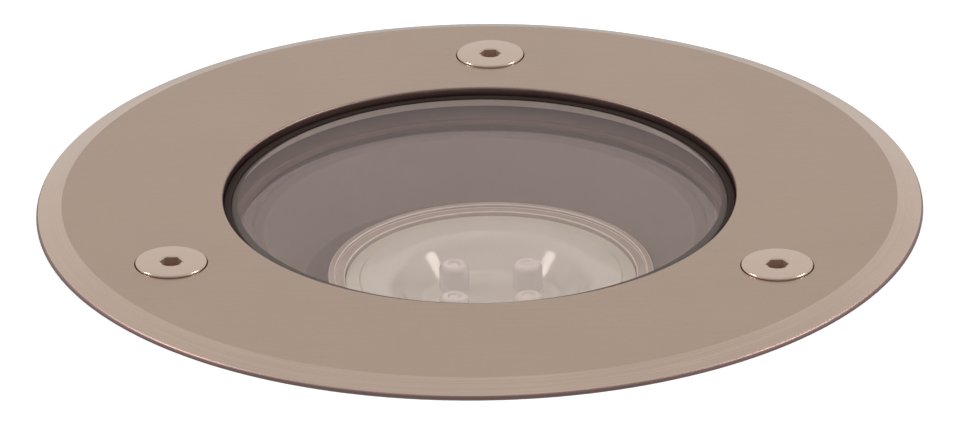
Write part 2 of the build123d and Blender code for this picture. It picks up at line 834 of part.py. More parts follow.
# ---------------------------------------------------------------- cable entries
def make_gland_body():
    """Cable gland's body: thread into the pot, hexagon, and a stub that holds the seal."""
    place = entry_places["gland"]
    body = rod(entry_r - entry_gap, hexagon_top, pot_floor, place)
    body += hexagon(hexagon_across_flats, hexagon_under, hexagon_top, place)
    body += rod(stub_r, stub_under, hexagon_under, place)
    body -= rod(gland_bore_r, stub_under, pot_floor, place)
    return body - rod(stub_bore_r, stub_under, seal_top, place)


def make_gland_seal():
    """Rubber sleeve that grips the cord."""
    return pipe(seal_r, cord_r, seal_under, seal_top, entry_places["gland"])


def make_gland_nut():
    """Gland's dome nut, which squeezes the seal."""
    place = entry_places["gland"]
    nut = hexagon(hexagon_across_flats, nut_under, nut_top, place)
    dome_r = hexagon_across_flats / 2 * nut_corner_cut
    nut &= turned_points(
        (0, nut_under),
        (dome_r - nut_round, nut_under),
        (dome_r, nut_under + 2 * nut_round),
        (dome_r, nut_top),
        (0, nut_top),
        at=place,
    )
    nut -= rod(nut_bore_r, seal_under, nut_top, place)
    return nut - rod(nut_mouth_r, nut_under, seal_under, place)


def make_blanking_plug():
    """Hexagon-headed plug in the second cable entry."""
    place = entry_places["plug"]
    plug = rod(entry_r - entry_gap, hexagon_top, pot_floor, place)
    return plug + hexagon(hexagon_across_flats, hexagon_under, hexagon_top, place)


def make_entry_washer(place):
    """Flat sealing ring between a cable entry and the pot."""
    return pipe(entry_r + entry_washer_width, entry_r + small_gap, hexagon_top, entry_under, place)


pieces = {
    "cover_ring": make_cover_ring(),
    "glass_lens": make_glass_lens(),
    "glass_gasket": make_glass_gasket(),
    "ground_sleeve": make_ground_sleeve(),
    "pot": make_pot(),
    "thread_inserts": spread([make_insert(place) for place in screw_places]),
    "reflector": make_reflector(),
    "lamp_body": make_lamp_body(),
    "lamp_rim": make_lamp_rim(),
    "lamp_lens": make_lamp_lens(),
    "lamp_light_board": make_light_board(),
    "lamp_light_chips": spread([make_light_chip(angle) for angle in cup_angles]),
    "lamp_driver_board": make_driver_board(),
    "lamp_base": make_lamp_base(),
    "lamp_pins": spread([make_lamp_pin(side) for side in (1, -1)]),
    "lampholder": make_lampholder(),
    "lampholder_contacts": spread([make_holder_contact(start) for start in (0, 180)]),
    "lampholder_screws": spread(
        [make_small_screw(place, bridge_under, holder_screw_length, up=True) for place in holder_screw_places]
    ),
    "lampholder_bridge": make_bridge(),
    "bridge_screws": spread(
        [make_small_screw(place, foot_under + bridge_sheet, foot_screw_length) for place in foot_places]
    ),
    "terminal_block": make_terminal_block(),
    "terminal_tubes": spread([make_terminal_tube(x) for x in pole_places]),
    "terminal_screws": spread(
        [make_terminal_screw(x, y) for x in pole_places for y in (terminal_screw_y, -terminal_screw_y)]
    ),
    "terminal_block_screws": spread([make_block_screw(place) for place in block_screw_places]),
    "earth_tag": make_earth_tag(),
    "earth_screw": make_earth_screw(),
    "live_lead": make_holder_lead(-1),
    "neutral_lead": make_holder_lead(1),
    "earth_lead": make_earth_lead(),
    "gland_body": make_gland_body(),
    "gland_seal": make_gland_seal(),
    "gland_nut": make_gland_nut(),
    "gland_washer": make_entry_washer(entry_places["gland"]),
    "blanking_plug": make_blanking_plug(),
    "blanking_plug_washer": make_entry_washer(entry_places["plug"]),
}
for number, place in enumerate(screw_places, start=1):
    pieces[f"cover_screw_{number}"] = make_cover_screw(place)
    pieces[f"screw_washer_{number}"] = make_screw_washer(place)

os.makedirs("parts", exist_ok=True)
for name, piece in pieces.items():
    export_step(piece, f"parts/{name}.step")
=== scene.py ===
import json
import logging
import math
from abc import ABC, abstractmethod
from dataclasses import dataclass, field
from enum import Enum
from functools import cache
from typing import Callable, Sequence

import bmesh
import bpy
from mathutils import Matrix, Vector


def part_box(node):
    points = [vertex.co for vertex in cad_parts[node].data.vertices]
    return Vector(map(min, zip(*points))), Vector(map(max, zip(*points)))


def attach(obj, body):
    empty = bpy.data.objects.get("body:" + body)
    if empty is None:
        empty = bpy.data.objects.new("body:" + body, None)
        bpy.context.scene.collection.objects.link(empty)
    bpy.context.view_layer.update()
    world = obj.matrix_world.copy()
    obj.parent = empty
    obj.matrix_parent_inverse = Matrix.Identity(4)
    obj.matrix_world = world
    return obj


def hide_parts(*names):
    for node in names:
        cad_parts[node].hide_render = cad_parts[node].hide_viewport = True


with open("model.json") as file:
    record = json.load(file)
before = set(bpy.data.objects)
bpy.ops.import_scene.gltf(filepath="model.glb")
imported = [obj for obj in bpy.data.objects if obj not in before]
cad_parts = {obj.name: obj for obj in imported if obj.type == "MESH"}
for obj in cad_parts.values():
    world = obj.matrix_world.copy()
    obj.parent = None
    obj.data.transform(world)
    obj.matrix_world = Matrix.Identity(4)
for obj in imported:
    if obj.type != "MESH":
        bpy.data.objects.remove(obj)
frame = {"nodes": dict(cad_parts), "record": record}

# A round in-ground well light that lies flush in pale paving, seen from the front and above.
# Metres. The frame's origin is the centre of the cover at ground level, +Z is up, -Y is the front.

MM = 0.001
UP = (0.0, 0.0, 1.0)
MIDDLE = (0.0, 0.0)          # of the cover, seen from above
FULL_TURN = 2 * math.pi
COVER_STEPS = 192            # faces round the pieces that are as wide as the cover
LAMP_STEPS = 128             # round the lamp
SMALL_STEPS = 48             # round a screw's head or a lens cup
THREAD_STEPS = 32            # in one turn of a thread
ROUND_SEGMENTS = 8           # faces across a rounded corner
HEXAGON_SIDES = 6
WELD_DISTANCE = 0.2e-6       # within which two corners of a turned piece are one
THREAD_WELD = 1e-6           # the same in a thread
NODE_WELD = 2e-6             # and in a CAD node's triangles
FLAT_ANGLE = math.radians(0.3)      # under which a CAD node's triangles are one flat face
EDGE_ANGLE = math.radians(35)       # over which an edge of a CAD shape is softened
NOISE_SPAN = (0.3, 0.7)      # where nearly all of a noise's values lie
WHITE = (1.0, 1.0, 1.0, 1.0)
SCREW_NUMBERS = (1, 2, 3)
PHOTO_WIDTH, PHOTO_HEIGHT = 960, 423

log = logging.getLogger("well_light")
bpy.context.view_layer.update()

Colour = tuple[float, float, float]
Spot = tuple[float, float]
Span = tuple[float, float]
Socket = bpy.types.NodeSocket
Value = Socket | float | Sequence[float]
Face = bmesh.types.BMFace
Edge = bmesh.types.BMEdge
Vert = bmesh.types.BMVert


def tint(red: int, green: int, blue: int) -> Colour:
    """Linear colour of red, green and blue from 0 to 255, by a display's standard curve."""
    shares = (level / 255 for level in (red, green, blue))
    return tuple(s / 12.92 if s <= 0.04045 else ((s + 0.055) / 1.055) ** 2.4 for s in shares)


def body_of(node: str) -> str:
    """Name of the moving body that a CAD node belongs to."""
    bodies = frame["record"]["behaviour"]["bodies"]
    return next(body for body, members in bodies.items() if node in members)


@cache
def box_of(node: str) -> tuple[Vector, Vector]:
    """Lowest and highest corner of a CAD node."""
    low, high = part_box(node)
    return Vector(low), Vector(high)


def place_of(node: str) -> Spot:
    """Middle of a CAD node, seen from above."""
    low, high = box_of(node)
    return ((low.x + high.x) / 2, (low.y + high.y) / 2)


def put_in_scene(name: str, data: bpy.types.ID) -> bpy.types.Object:
    """Make an object and link it to the scene.

    Args:
        name: What the object is called.
        data: Its mesh, lamp or camera.

    Returns:
        The object.
    """
    shown = bpy.data.objects.new(name, data)
    bpy.context.scene.collection.objects.link(shown)
    return shown


# ---------------------------------------------------------------- shaders
class NodeGraph:
    """A node tree, with short ways to add and join its nodes."""

    def __init__(self, tree: bpy.types.NodeTree) -> None:
        """Work on a tree and keep the nodes that it has."""
        self.tree = tree

    def add(self, kind: str, **settings: object) -> bpy.types.Node:
        """Add a node.

        Args:
            kind: Which kind of node it is.
            settings: The node's own settings, by name.

        Returns:
            The new node.
        """
        node = self.tree.nodes.new(kind)
        for name, value in settings.items():
            setattr(node, name, value)
        return node

    def feed(self, socket: Socket, value: Value) -> None:
        """Join a value to a socket, or set the socket to a constant.

        Args:
            socket: The input that takes the value.
            value: Another node's output, or a constant.
        """
        if isinstance(value, Socket):
            self.tree.links.new(value, socket)
        else:
            socket.default_value = value

    def maths(self, operation: str, first: Value, second: Value = 0.0) -> Socket:
        """Work out a sum.

        Args:
            operation: Which sum it is.
            first: The first value.
            second: The second value, where the sum takes two.

        Returns:
            The result.
        """
        node = self.add("ShaderNodeMath", operation=operation)
        self.feed(node.inputs[0], first)
        self.feed(node.inputs[1], second)
        return node.outputs[0]

    def parts_of(self, vector: Socket) -> tuple[Socket, ...]:
        """Split a vector into its three values.

        Args:
            vector: What is split.

        Returns:
            The X, Y and Z values.
        """
        node = self.add("ShaderNodeSeparateXYZ")
        self.feed(node.inputs[0], vector)
        return tuple(node.outputs)

    def spread(self, value: Value, span: Span, low: float, high: float, **settings: object) -> Socket:
        """Move a value from one range to another, and keep it inside.

        Args:
            value: What is moved.
            span: The values that become low and high.
            low: Result at the span's start.
            high: Result at the span's end.
            settings: The node's own settings, by name.

        Returns:
            The moved value.
        """
        node = self.add("ShaderNodeMapRange", **settings)
        for socket, number in zip(node.inputs, (value, *span, low, high)):
            self.feed(socket, number)
        return node.outputs[0]


class Shader(NodeGraph):
    """Node tree of one material, with the patterns that the finishes share."""

    def __init__(self, name: str) -> None:
        """Start a material.

        Args:
            name: What the material is called.
        """
        self.material = bpy.data.materials.new(name)
        self.material.use_nodes = True
        super().__init__(self.material.node_tree)
        self.surface = self.tree.nodes["Principled BSDF"]
        self.output = self.tree.nodes["Material Output"]
        self.place = self.add("ShaderNodeTexCoord").outputs["Object"]

    def scaled(self, scale: Sequence[float]) -> Socket:
        """Stretch the object coordinates.

        Args:
            scale: Scale on each axis.

        Returns:
            The stretched coordinates.
        """
        node = self.add("ShaderNodeMapping")
        self.feed(node.inputs["Vector"], self.place)
        self.feed(node.inputs["Scale"], scale)
        return node.outputs["Vector"]

    def turned(self, centre: Spot, line_width: float, features_in_radian: float) -> Socket:
        """Coordinates in which a noise becomes fine marks round an upright axis.

        Args:
            centre: Where the axis stands.
            line_width: How wide a mark is.
            features_in_radian: How often a mark changes on its way round.

        Returns:
            The coordinates.
        """
        x, y, height = self.parts_of(self.place)
        across = self.maths("SUBTRACT", x, centre[0])
        along = self.maths("SUBTRACT", y, centre[1])
        squares = (self.maths("MULTIPLY", offset, offset) for offset in (across, along))
        distance = self.maths("SQRT", self.maths("ADD", *squares))
        angle = self.maths("ARCTAN2", along, across)
        node = self.add("ShaderNodeCombineXYZ")
        self.feed(node.inputs[0], self.maths("DIVIDE", distance, line_width))
        self.feed(node.inputs[1], self.maths("MULTIPLY", angle, features_in_radian))
        self.feed(node.inputs[2], self.maths("DIVIDE", height, line_width))
        return node.outputs[0]

    def noise(self, at: Socket, scale: float, detail: float) -> Socket:
        """Soft noise from 0 to 1.

        Args:
            at: Coordinates.
            scale: How many features there are in one unit of the coordinates.
            detail: How many finer layers it has.

        Returns:
            The noise's value.
        """
        node = self.add("ShaderNodeTexNoise")
        for name, value in (("Vector", at), ("Scale", scale), ("Detail", detail)):
            self.feed(node.inputs[name], value)
        return node.outputs[0]

    def cells(self, scale: float) -> Socket:
        """Distance to the nearest point of a random pattern of points.

        Args:
            scale: How many points there are in a metre.

        Returns:
            The distance, as a share of the points' spacing.
        """
        node = self.add("ShaderNodeTexVoronoi")
        self.feed(node.inputs["Vector"], self.place)
        self.feed(node.inputs["Scale"], scale)
        return node.outputs["Distance"]

    def between(self, share: Value, first: Colour | Socket, second: Colour | Socket) -> Socket:
        """Mix two colours.

        Args:
            share: How much of the second colour there is, from 0 to 1.
            first: Colour at 0.
            second: Colour at 1.

        Returns:
            The mixed colour.
        """
        node = self.add("ShaderNodeMix", data_type="RGBA")
        self.feed(node.inputs["Factor"], share)
        for name, value in (("A_Color", first), ("B_Color", second)):
            socket = next(s for s in node.inputs if s.identifier == name)
            self.feed(socket, value if isinstance(value, Socket) else (*value, 1.0))
        return next(s for s in node.outputs if s.identifier == "Result_Color")

    def emboss(self, height: Socket, depth: float, strength: float) -> None:
        """Raise the surface where a value is high.

        Args:
            height: Value that raises the surface.
            depth: Real height of a value of 1.
            strength: How much of it shows.
        """
        node = self.add("ShaderNodeBump")
        for name, value in (("Strength", strength), ("Distance", depth), ("Height", height)):
            self.feed(node.inputs[name], value)
        self.feed(self.surface.inputs["Normal"], node.outputs[0])

    def dress(self, **values: Value) -> None:
        """Set or join sockets of the surface, named with underscores for spaces."""
        for name, value in values.items():
            self.feed(self.surface.inputs[name.replace("_", " ")], value)


# ---------------------------------------------------------------- finishes
class Grain(Enum):
    """Which way a metal's fine marks run."""

    STRAIGHT = "along the light's left and right"
    TURNED = "round an upright axis"


@dataclass(frozen=True)
class Finish(ABC):
    """What every finish has: a name, the record's slot, a colour and a roughness."""

    name: str
    slot: str
    colour: Colour
    roughness: float

    def shade(self, factor: float) -> Colour:
        """The finish's colour, darker or lighter by a factor."""
        return tuple(min(1.0, value * factor) for value in self.colour)

    def mottle(self, shader: Shader, share: Value, dark: float, light: float) -> Socket:
        """Colour between a darker and a lighter shade, each a factor on the finish's own."""
        return shader.between(share, self.shade(dark), self.shade(light))

    def rub(self, shader: Shader, noise: Socket, less: float, more: float) -> Socket:
        """Roughness that follows a noise, from a little less to a little more than the finish's own."""
        return shader.spread(noise, NOISE_SPAN, self.roughness - less, self.roughness + more)

    @abstractmethod
    def paint(self, shader: Shader) -> None:
        """Build the finish's nodes in a material."""


@cache
def material_of(finish: Finish) -> bpy.types.Material:
    """Make a finish's material, the first time that it is asked for.

    Args:
        finish: The finish.

    Returns:
        Its material.
    """
    shader = Shader(finish.name)
    finish.paint(shader)
    return shader.material


@dataclass(frozen=True)
class Steel(Finish):
    """Stainless steel with fine marks that run one way."""

    grain: Grain = Grain.STRAIGHT
    centre: Spot = MIDDLE
    line_width: float = 0.16 * MM
    line_length: float = 14 * MM
    line_depth: float = 0.004 * MM
    lines_in_radian: float = 1.6
    contrast: float = 0.07
    stretch: float = 0.6              # of reflections, across the marks
    cloud_scale: float = 60.0
    cloud_share: float = 0.35
    mixed_span: Span = (0.42, 0.93)

    def lines(self, shader: Shader) -> Socket:
        """Coordinates in which a noise becomes hairlines.

        Args:
            shader: The material's nodes.

        Returns:
            The coordinates.
        """
        if self.grain is Grain.TURNED:
            return shader.turned(self.centre, self.line_width, self.lines_in_radian)
        across = 1 / self.line_width
        return shader.scaled((1 / self.line_length, across, across))

    def paint(self, shader: Shader) -> None:
        """Put hairlines in the colour, the roughness and the surface.

        Args:
            shader: The material's nodes.
        """
        hairlines = shader.noise(self.lines(shader), 1.0, detail=4.0)
        clouds = shader.noise(shader.place, self.cloud_scale, detail=2.0)
        mixed = shader.maths("ADD", hairlines, shader.maths("MULTIPLY", clouds, self.cloud_share))
        share = shader.spread(mixed, self.mixed_span, 0.0, 1.0)
        direction = "RADIAL" if self.grain is Grain.TURNED else "UV_MAP"
        tangent = shader.add("ShaderNodeTangent", direction_type=direction, axis="Z")
        shader.dress(
            Base_Color=self.mottle(shader, share, 1 - self.contrast, 1 + self.contrast),
            Metallic=1.0,
            Roughness=self.rub(shader, hairlines, less=0.05, more=0.06),
            Anisotropic=self.stretch,
            Tangent=tangent.outputs[0],
        )
        shader.emboss(hairlines, self.line_depth, strength=0.6)


@dataclass(frozen=True)
class PlainMetal(Finish):
    """Machined, plated or spun metal with faint marks round the light's own axis."""

    line_width: float = 0.12 * MM
    line_depth: float = 0.003 * MM
    lines_in_radian: float = 0.8
    contrast: float = 0.12
    metalness: float = 1.0
    gloss: float = 0.5
    tarnish_scale: float = 150.0
    mixed_span: Span = (0.7, 1.3)

    def paint(self, shader: Shader) -> None:
        """Put faint turned marks in the surface and a cloudy tarnish in the colour.

        Args:
            shader: The material's nodes.
        """
        marks_at = shader.turned(MIDDLE, self.line_width, self.lines_in_radian)
        marks = shader.noise(marks_at, 1.0, detail=3.0)
        tarnish = shader.noise(shader.place, self.tarnish_scale, detail=4.0)
        share = shader.spread(shader.maths("ADD", marks, tarnish), self.mixed_span, 0.0, 1.0)
        shader.dress(
            Base_Color=self.mottle(shader, share, 1 - self.contrast, 1 + self.contrast),
            Metallic=self.metalness,
            Specular_IOR_Level=self.gloss,
            Roughness=self.rub(shader, tarnish, less=0.06, more=0.08),
        )
        shader.emboss(marks, self.line_depth, strength=0.5)


@dataclass(frozen=True)
class Moulded(Finish):
    """Moulded plastic, rubber or porcelain with a fine grain and a little wear."""

    grain_size: float = 0.35 * MM
    grain_depth: float = 0.02 * MM
    contrast: float = 0.12
    wear: float = 0.1
    gloss: float = 0.5
    cloud_scale: float = 45.0
    cloud_span: Span = (0.35, 0.65)

    def paint(self, shader: Shader) -> None:
        """Put a fine grain in the surface, and clouds of slightly duller and lighter skin.

        Args:
            shader: The material's nodes.
        """
        grain = shader.noise(shader.place, 1 / self.grain_size, detail=4.0)
        clouds = shader.noise(shader.place, self.cloud_scale, detail=5.0)
        share = shader.spread(clouds, self.cloud_span, 0.0, 1.0)
        shader.dress(
            Base_Color=self.mottle(shader, share, 1 - self.contrast, 1 + self.contrast),
            Roughness=self.rub(shader, clouds, less=self.wear / 2, more=self.wear),
            Specular_IOR_Level=self.gloss,
        )
        shader.emboss(grain, self.grain_depth, strength=0.7)


@dataclass(frozen=True)
class PowderCoat(Finish):
    """Powder coat over a casting: orange peel, and specks of a lighter grain."""

    peel_size: float = 0.9 * MM
    peel_depth: float = 0.05 * MM
    speck_size: float = 0.35 * MM
    speck_span: Span = (0.05, 0.6)
    cloud_scale: float = 35.0
    metalness: float = 0.15

    def paint(self, shader: Shader) -> None:
        """Put a rounded peel in the surface and fine specks in the colour.

        Args:
            shader: The material's nodes.
        """
        peel = shader.noise(shader.place, 1 / self.peel_size, detail=2.0)
        specks = shader.spread(shader.cells(1 / self.speck_size), self.speck_span, 1.0, 0.0)
        clouds = shader.noise(shader.place, self.cloud_scale, detail=4.0)
        shader.dress(
            Base_Color=self.mottle(shader, shader.maths("MULTIPLY", specks, clouds), dark=0.85, light=1.5),
            Metallic=self.metalness,
            Roughness=self.rub(shader, peel, less=0.07, more=0.07),
        )
        shader.emboss(peel, self.peel_depth, strength=0.8)


@dataclass(frozen=True)
class Clear(Finish):
    """Clear glass or plastic. Milkiness is how much of the light it scatters."""

    milkiness: float = 0.0
    bending: float = 1.49
    ripple: float = 0.002 * MM
    ripple_size: float = 9.0 * MM
    sparkle: Colour = (1.0, 1.0, 1.0)      # of its reflections
    haze_scale: float = 70.0
    haze_span: Span = (0.35, 0.75)

    def paint(self, shader: Shader) -> None:
        """Put faint waves in the surface and a breath of haze in the colour and roughness.

        Args:
            shader: The material's nodes.
        """
        waves = shader.noise(shader.place, 1 / self.ripple_size, detail=1.0)
        haze = shader.noise(shader.place, self.haze_scale, detail=5.0)
        share = shader.spread(haze, NOISE_SPAN, 0.0, 1.0)
        dull = self.roughness * 1.6 + 0.003
        shader.dress(
            Base_Color=self.mottle(shader, share, dark=0.97, light=1.0),
            Roughness=shader.spread(haze, self.haze_span, self.roughness, dull),
            IOR=self.bending,
            Specular_Tint=(*self.sparkle, 1.0),
            Transmission_Weight=1.0 - self.milkiness,
        )
        shader.emboss(waves, self.ripple, strength=0.5)


@dataclass(frozen=True)
class Striped(Finish):
    """Lead insulation with a stripe of a second colour along its upper side."""

    stripe: Colour
    stripe_span: Span = (0.35, 0.42)      # how far the surface faces up at the stripe's edge
    grain_size: float = 0.4 * MM
    grain_depth: float = 0.01 * MM

    def paint(self, shader: Shader) -> None:
        """Put the stripe where the surface faces up, and a fine grain in the surface.

        Args:
            shader: The material's nodes.
        """
        normal = shader.add("ShaderNodeTexCoord").outputs["Normal"]
        _, _, facing_up = shader.parts_of(normal)
        share = shader.spread(facing_up, self.stripe_span, 0.0, 1.0)
        grain = shader.noise(shader.place, 1 / self.grain_size, detail=3.0)
        shader.dress(
            Base_Color=shader.between(share, self.colour, self.stripe),
            Roughness=self.rub(shader, grain, less=0.0, more=0.1),
        )
        shader.emboss(grain, self.grain_depth, strength=0.5)


@dataclass(frozen=True)
class Paving(Finish):
    """Fine pale paving that isn't there when it is seen from below."""

    in_reflections: Colour = (0.3, 0.3, 0.3)
    glow: float = 0.3
    cloud_scale: float = 6.0

    def paint(self, shader: Shader) -> None:
        """Put faint clouds on it, duller in reflections, and clear it from behind and for soft light.

        Args:
            shader: The material's nodes.
        """
        clouds = shader.noise(shader.place, self.cloud_scale, detail=3.0)
        pale = self.mottle(shader, clouds, dark=0.98, light=1.01)
        rays = shader.add("ShaderNodeLightPath").outputs
        through = shader.maths("MAXIMUM", rays["Is Camera Ray"], rays["Is Transmission Ray"])
        eye = shader.maths("MAXIMUM", through, rays["Is Glossy Ray"])
        shader.dress(
            Base_Color=shader.between(rays["Is Glossy Ray"], pale, self.in_reflections),
            Roughness=self.roughness,
            Specular_IOR_Level=0.0,
            Emission_Color=WHITE,
            Emission_Strength=shader.maths("MULTIPLY", eye, self.glow),
        )
        behind = shader.add("ShaderNodeNewGeometry").outputs["Backfacing"]
        mix = shader.add("ShaderNodeMixShader")
        shader.feed(mix.inputs[0], shader.maths("MAXIMUM", behind, rays["Is Diffuse Ray"]))
        shader.feed(mix.inputs[1], shader.surface.outputs[0])
        shader.feed(mix.inputs[2], shader.add("ShaderNodeBsdfTransparent").outputs[0])
        shader.feed(shader.output.inputs["Surface"], mix.outputs[0])


PAVING = Paving("pale_paving", "", (0.95, 0.95, 0.95), 0.9)

FACE_STEEL = Steel("face_steel", "steel_cover", tint(178, 155, 137), 0.3, contrast=0.05)
# Turned steel of the bevel, tinted lighter than the face: painted sheen for the light that the bevel
# catches.
BEVEL_SHEEN_STEEL = Steel(
    "bevel_sheen_steel", "steel_cover", tint(204, 181, 165), 0.24, grain=Grain.TURNED, line_depth=0.002 * MM
)
# Darker steel on the ring's lip, the opening's wall and the underside: painted shade, which stands in for
# the dark reflection along the lip and the opening's back edge.
SHADED_EDGE_STEEL = Steel(
    "shaded_edge_steel",
    "steel_cover",
    tint(142, 118, 113),
    0.38,
    grain=Grain.TURNED,
    line_width=0.3 * MM,
    contrast=0.15,
)
SOCKET_STEEL = PlainMetal(
    "socket_steel", "steel_screw", tint(184, 158, 142), 0.5, contrast=0.05, metalness=0.7
)

COVER_GLASS = Clear(
    "cover_glass", "clear_glass", (0.98, 0.88, 0.83), 0.004, bending=1.52, sparkle=(1.0, 0.5, 0.38)
)
GROUND_GLASS = Clear(
    "ground_glass",
    "clear_glass",
    tint(92, 80, 74),
    0.5,
    milkiness=0.85,
    bending=1.5,
    ripple=0.01 * MM,
    ripple_size=0.5 * MM,
)
GLASS_SIDE = Clear(
    "glass_side",
    "clear_glass",
    tint(198, 181, 172),
    0.5,
    milkiness=0.9,
    bending=1.5,
    ripple=0.01 * MM,
    ripple_size=0.5 * MM,
)
SEAL_RUBBER = Moulded(
    "seal_rubber", "black_silicone", tint(48, 35, 29), 0.7, grain_size=0.25 * MM, gloss=0.2
)
# Paler rubber where the gasket lies under the glass: painted light, for the light seen there through the
# glass.
PAINTED_LIGHT_RUBBER = Moulded(
    "painted_light_rubber", "black_silicone", tint(124, 104, 99), 0.7, grain_size=0.25 * MM, gloss=0.2
)

SPUN_REFLECTOR = PlainMetal(
    "spun_reflector",
    "spun_aluminium",
    tint(102, 93, 84),
    0.6,
    line_width=0.35 * MM,
    contrast=0.04,
    metalness=0.2,
    gloss=0.15,
)
# Darker metal on the reflector's level lip: painted shade, for the shadow on the reflector's upper part.
SHADED_REFLECTOR_LIP = PlainMetal(
    "shaded_reflector_lip", "spun_aluminium", tint(90, 76, 68), 0.6, contrast=0.04, metalness=0.2, gloss=0.1
)
CLEAR_RIM = Clear("clear_rim", "clear_plastic", tint(218, 204, 194), 0.07, milkiness=0.65)
# Brighter, milkier plastic on the rim's rounded edges: painted highlight, as if the edges catch the light.
PAINTED_RIM_HIGHLIGHT = Clear("painted_rim_highlight", "clear_plastic", tint(255, 252, 246), 0.05, milkiness=0.85)
LENS_BAND = Clear("lens_band", "lens_plastic", tint(250, 252, 241), 0.08, milkiness=0.75)
MILKY_LENS = Clear("milky_lens", "lens_plastic", tint(240, 243, 239), 0.05, milkiness=0.85)
CLEAR_LENS = Clear("clear_lens", "lens_plastic", tint(255, 255, 255), 0.03, milkiness=0.88)

LAMP_SHELL = Moulded(
    "lamp_shell_skin", "lamp_shell", tint(214, 209, 202), 0.32, grain_depth=0.006 * MM, contrast=0.03
)
WHITE_MASK = Moulded(
    "white_mask", "light_board", tint(228, 228, 222), 0.4, grain_depth=0.01 * MM, contrast=0.03
)
PHOSPHOR = Moulded("phosphor", "light_chip", tint(228, 196, 70), 0.5, grain_size=0.15 * MM, contrast=0.06)
GREEN_MASK = Moulded("green_mask", "circuit_board", tint(38, 96, 54), 0.35, grain_depth=0.01 * MM)
NICKEL = PlainMetal("nickel", "nickel_pin", tint(196, 188, 178), 0.2)

PORCELAIN = Moulded(
    "porcelain_body", "porcelain", tint(226, 221, 208), 0.45, grain_depth=0.015 * MM, contrast=0.04
)
BRASS = PlainMetal("machined_brass", "brass", tint(198, 158, 88), 0.28)
ZINC = PlainMetal("zinc_plate", "zinc_steel", tint(182, 184, 186), 0.34, contrast=0.16)
TERMINAL_NYLON = Moulded("terminal_nylon", "terminal_plastic", tint(218, 214, 202), 0.42, contrast=0.04)
BROWN_SLEEVE = Moulded("brown_sleeve", "brown_insulation", tint(92, 54, 34), 0.45, contrast=0.06)
BLUE_SLEEVE = Moulded("blue_sleeve", "blue_insulation", tint(36, 74, 150), 0.45, contrast=0.06)
EARTH_SLEEVE = Striped(
    "earth_sleeve", "green_yellow_insulation", tint(44, 122, 48), 0.42, stripe=tint(226, 200, 40)
)

GLAND_NYLON = Moulded("gland_nylon", "gland_plastic", tint(48, 48, 50), 0.42, grain_size=0.2 * MM)
SLEEVE_PLASTIC = Moulded(
    "sleeve_moulding", "sleeve_plastic", tint(58, 58, 60), 0.5, grain_size=0.5 * MM, contrast=0.16
)
POT_COAT = PowderCoat("pot_coat", "cast_pot", tint(86, 74, 69), 0.5)


@cache
def screw_steel(number: int) -> Steel:
    """Polished steel of a cover screw, turned about its own axis.

    Args:
        number: Which screw it is.

    Returns:
        The finish.
    """
    return Steel(
        f"screw_steel_{number}",
        "steel_screw",
        tint(207, 185, 169),
        0.16,
        grain=Grain.TURNED,
        centre=place_of(f"cover_screw_{number}"),
        line_width=0.1 * MM,
        line_depth=0.0015 * MM,
        contrast=0.04,
        stretch=0.3,
    )


# ---------------------------------------------------------------- modelling
@dataclass(frozen=True)
class Corner:
    """Corner of a turned piece's half outline."""

    radius: float
    height: float
    rounding: float = 0.0


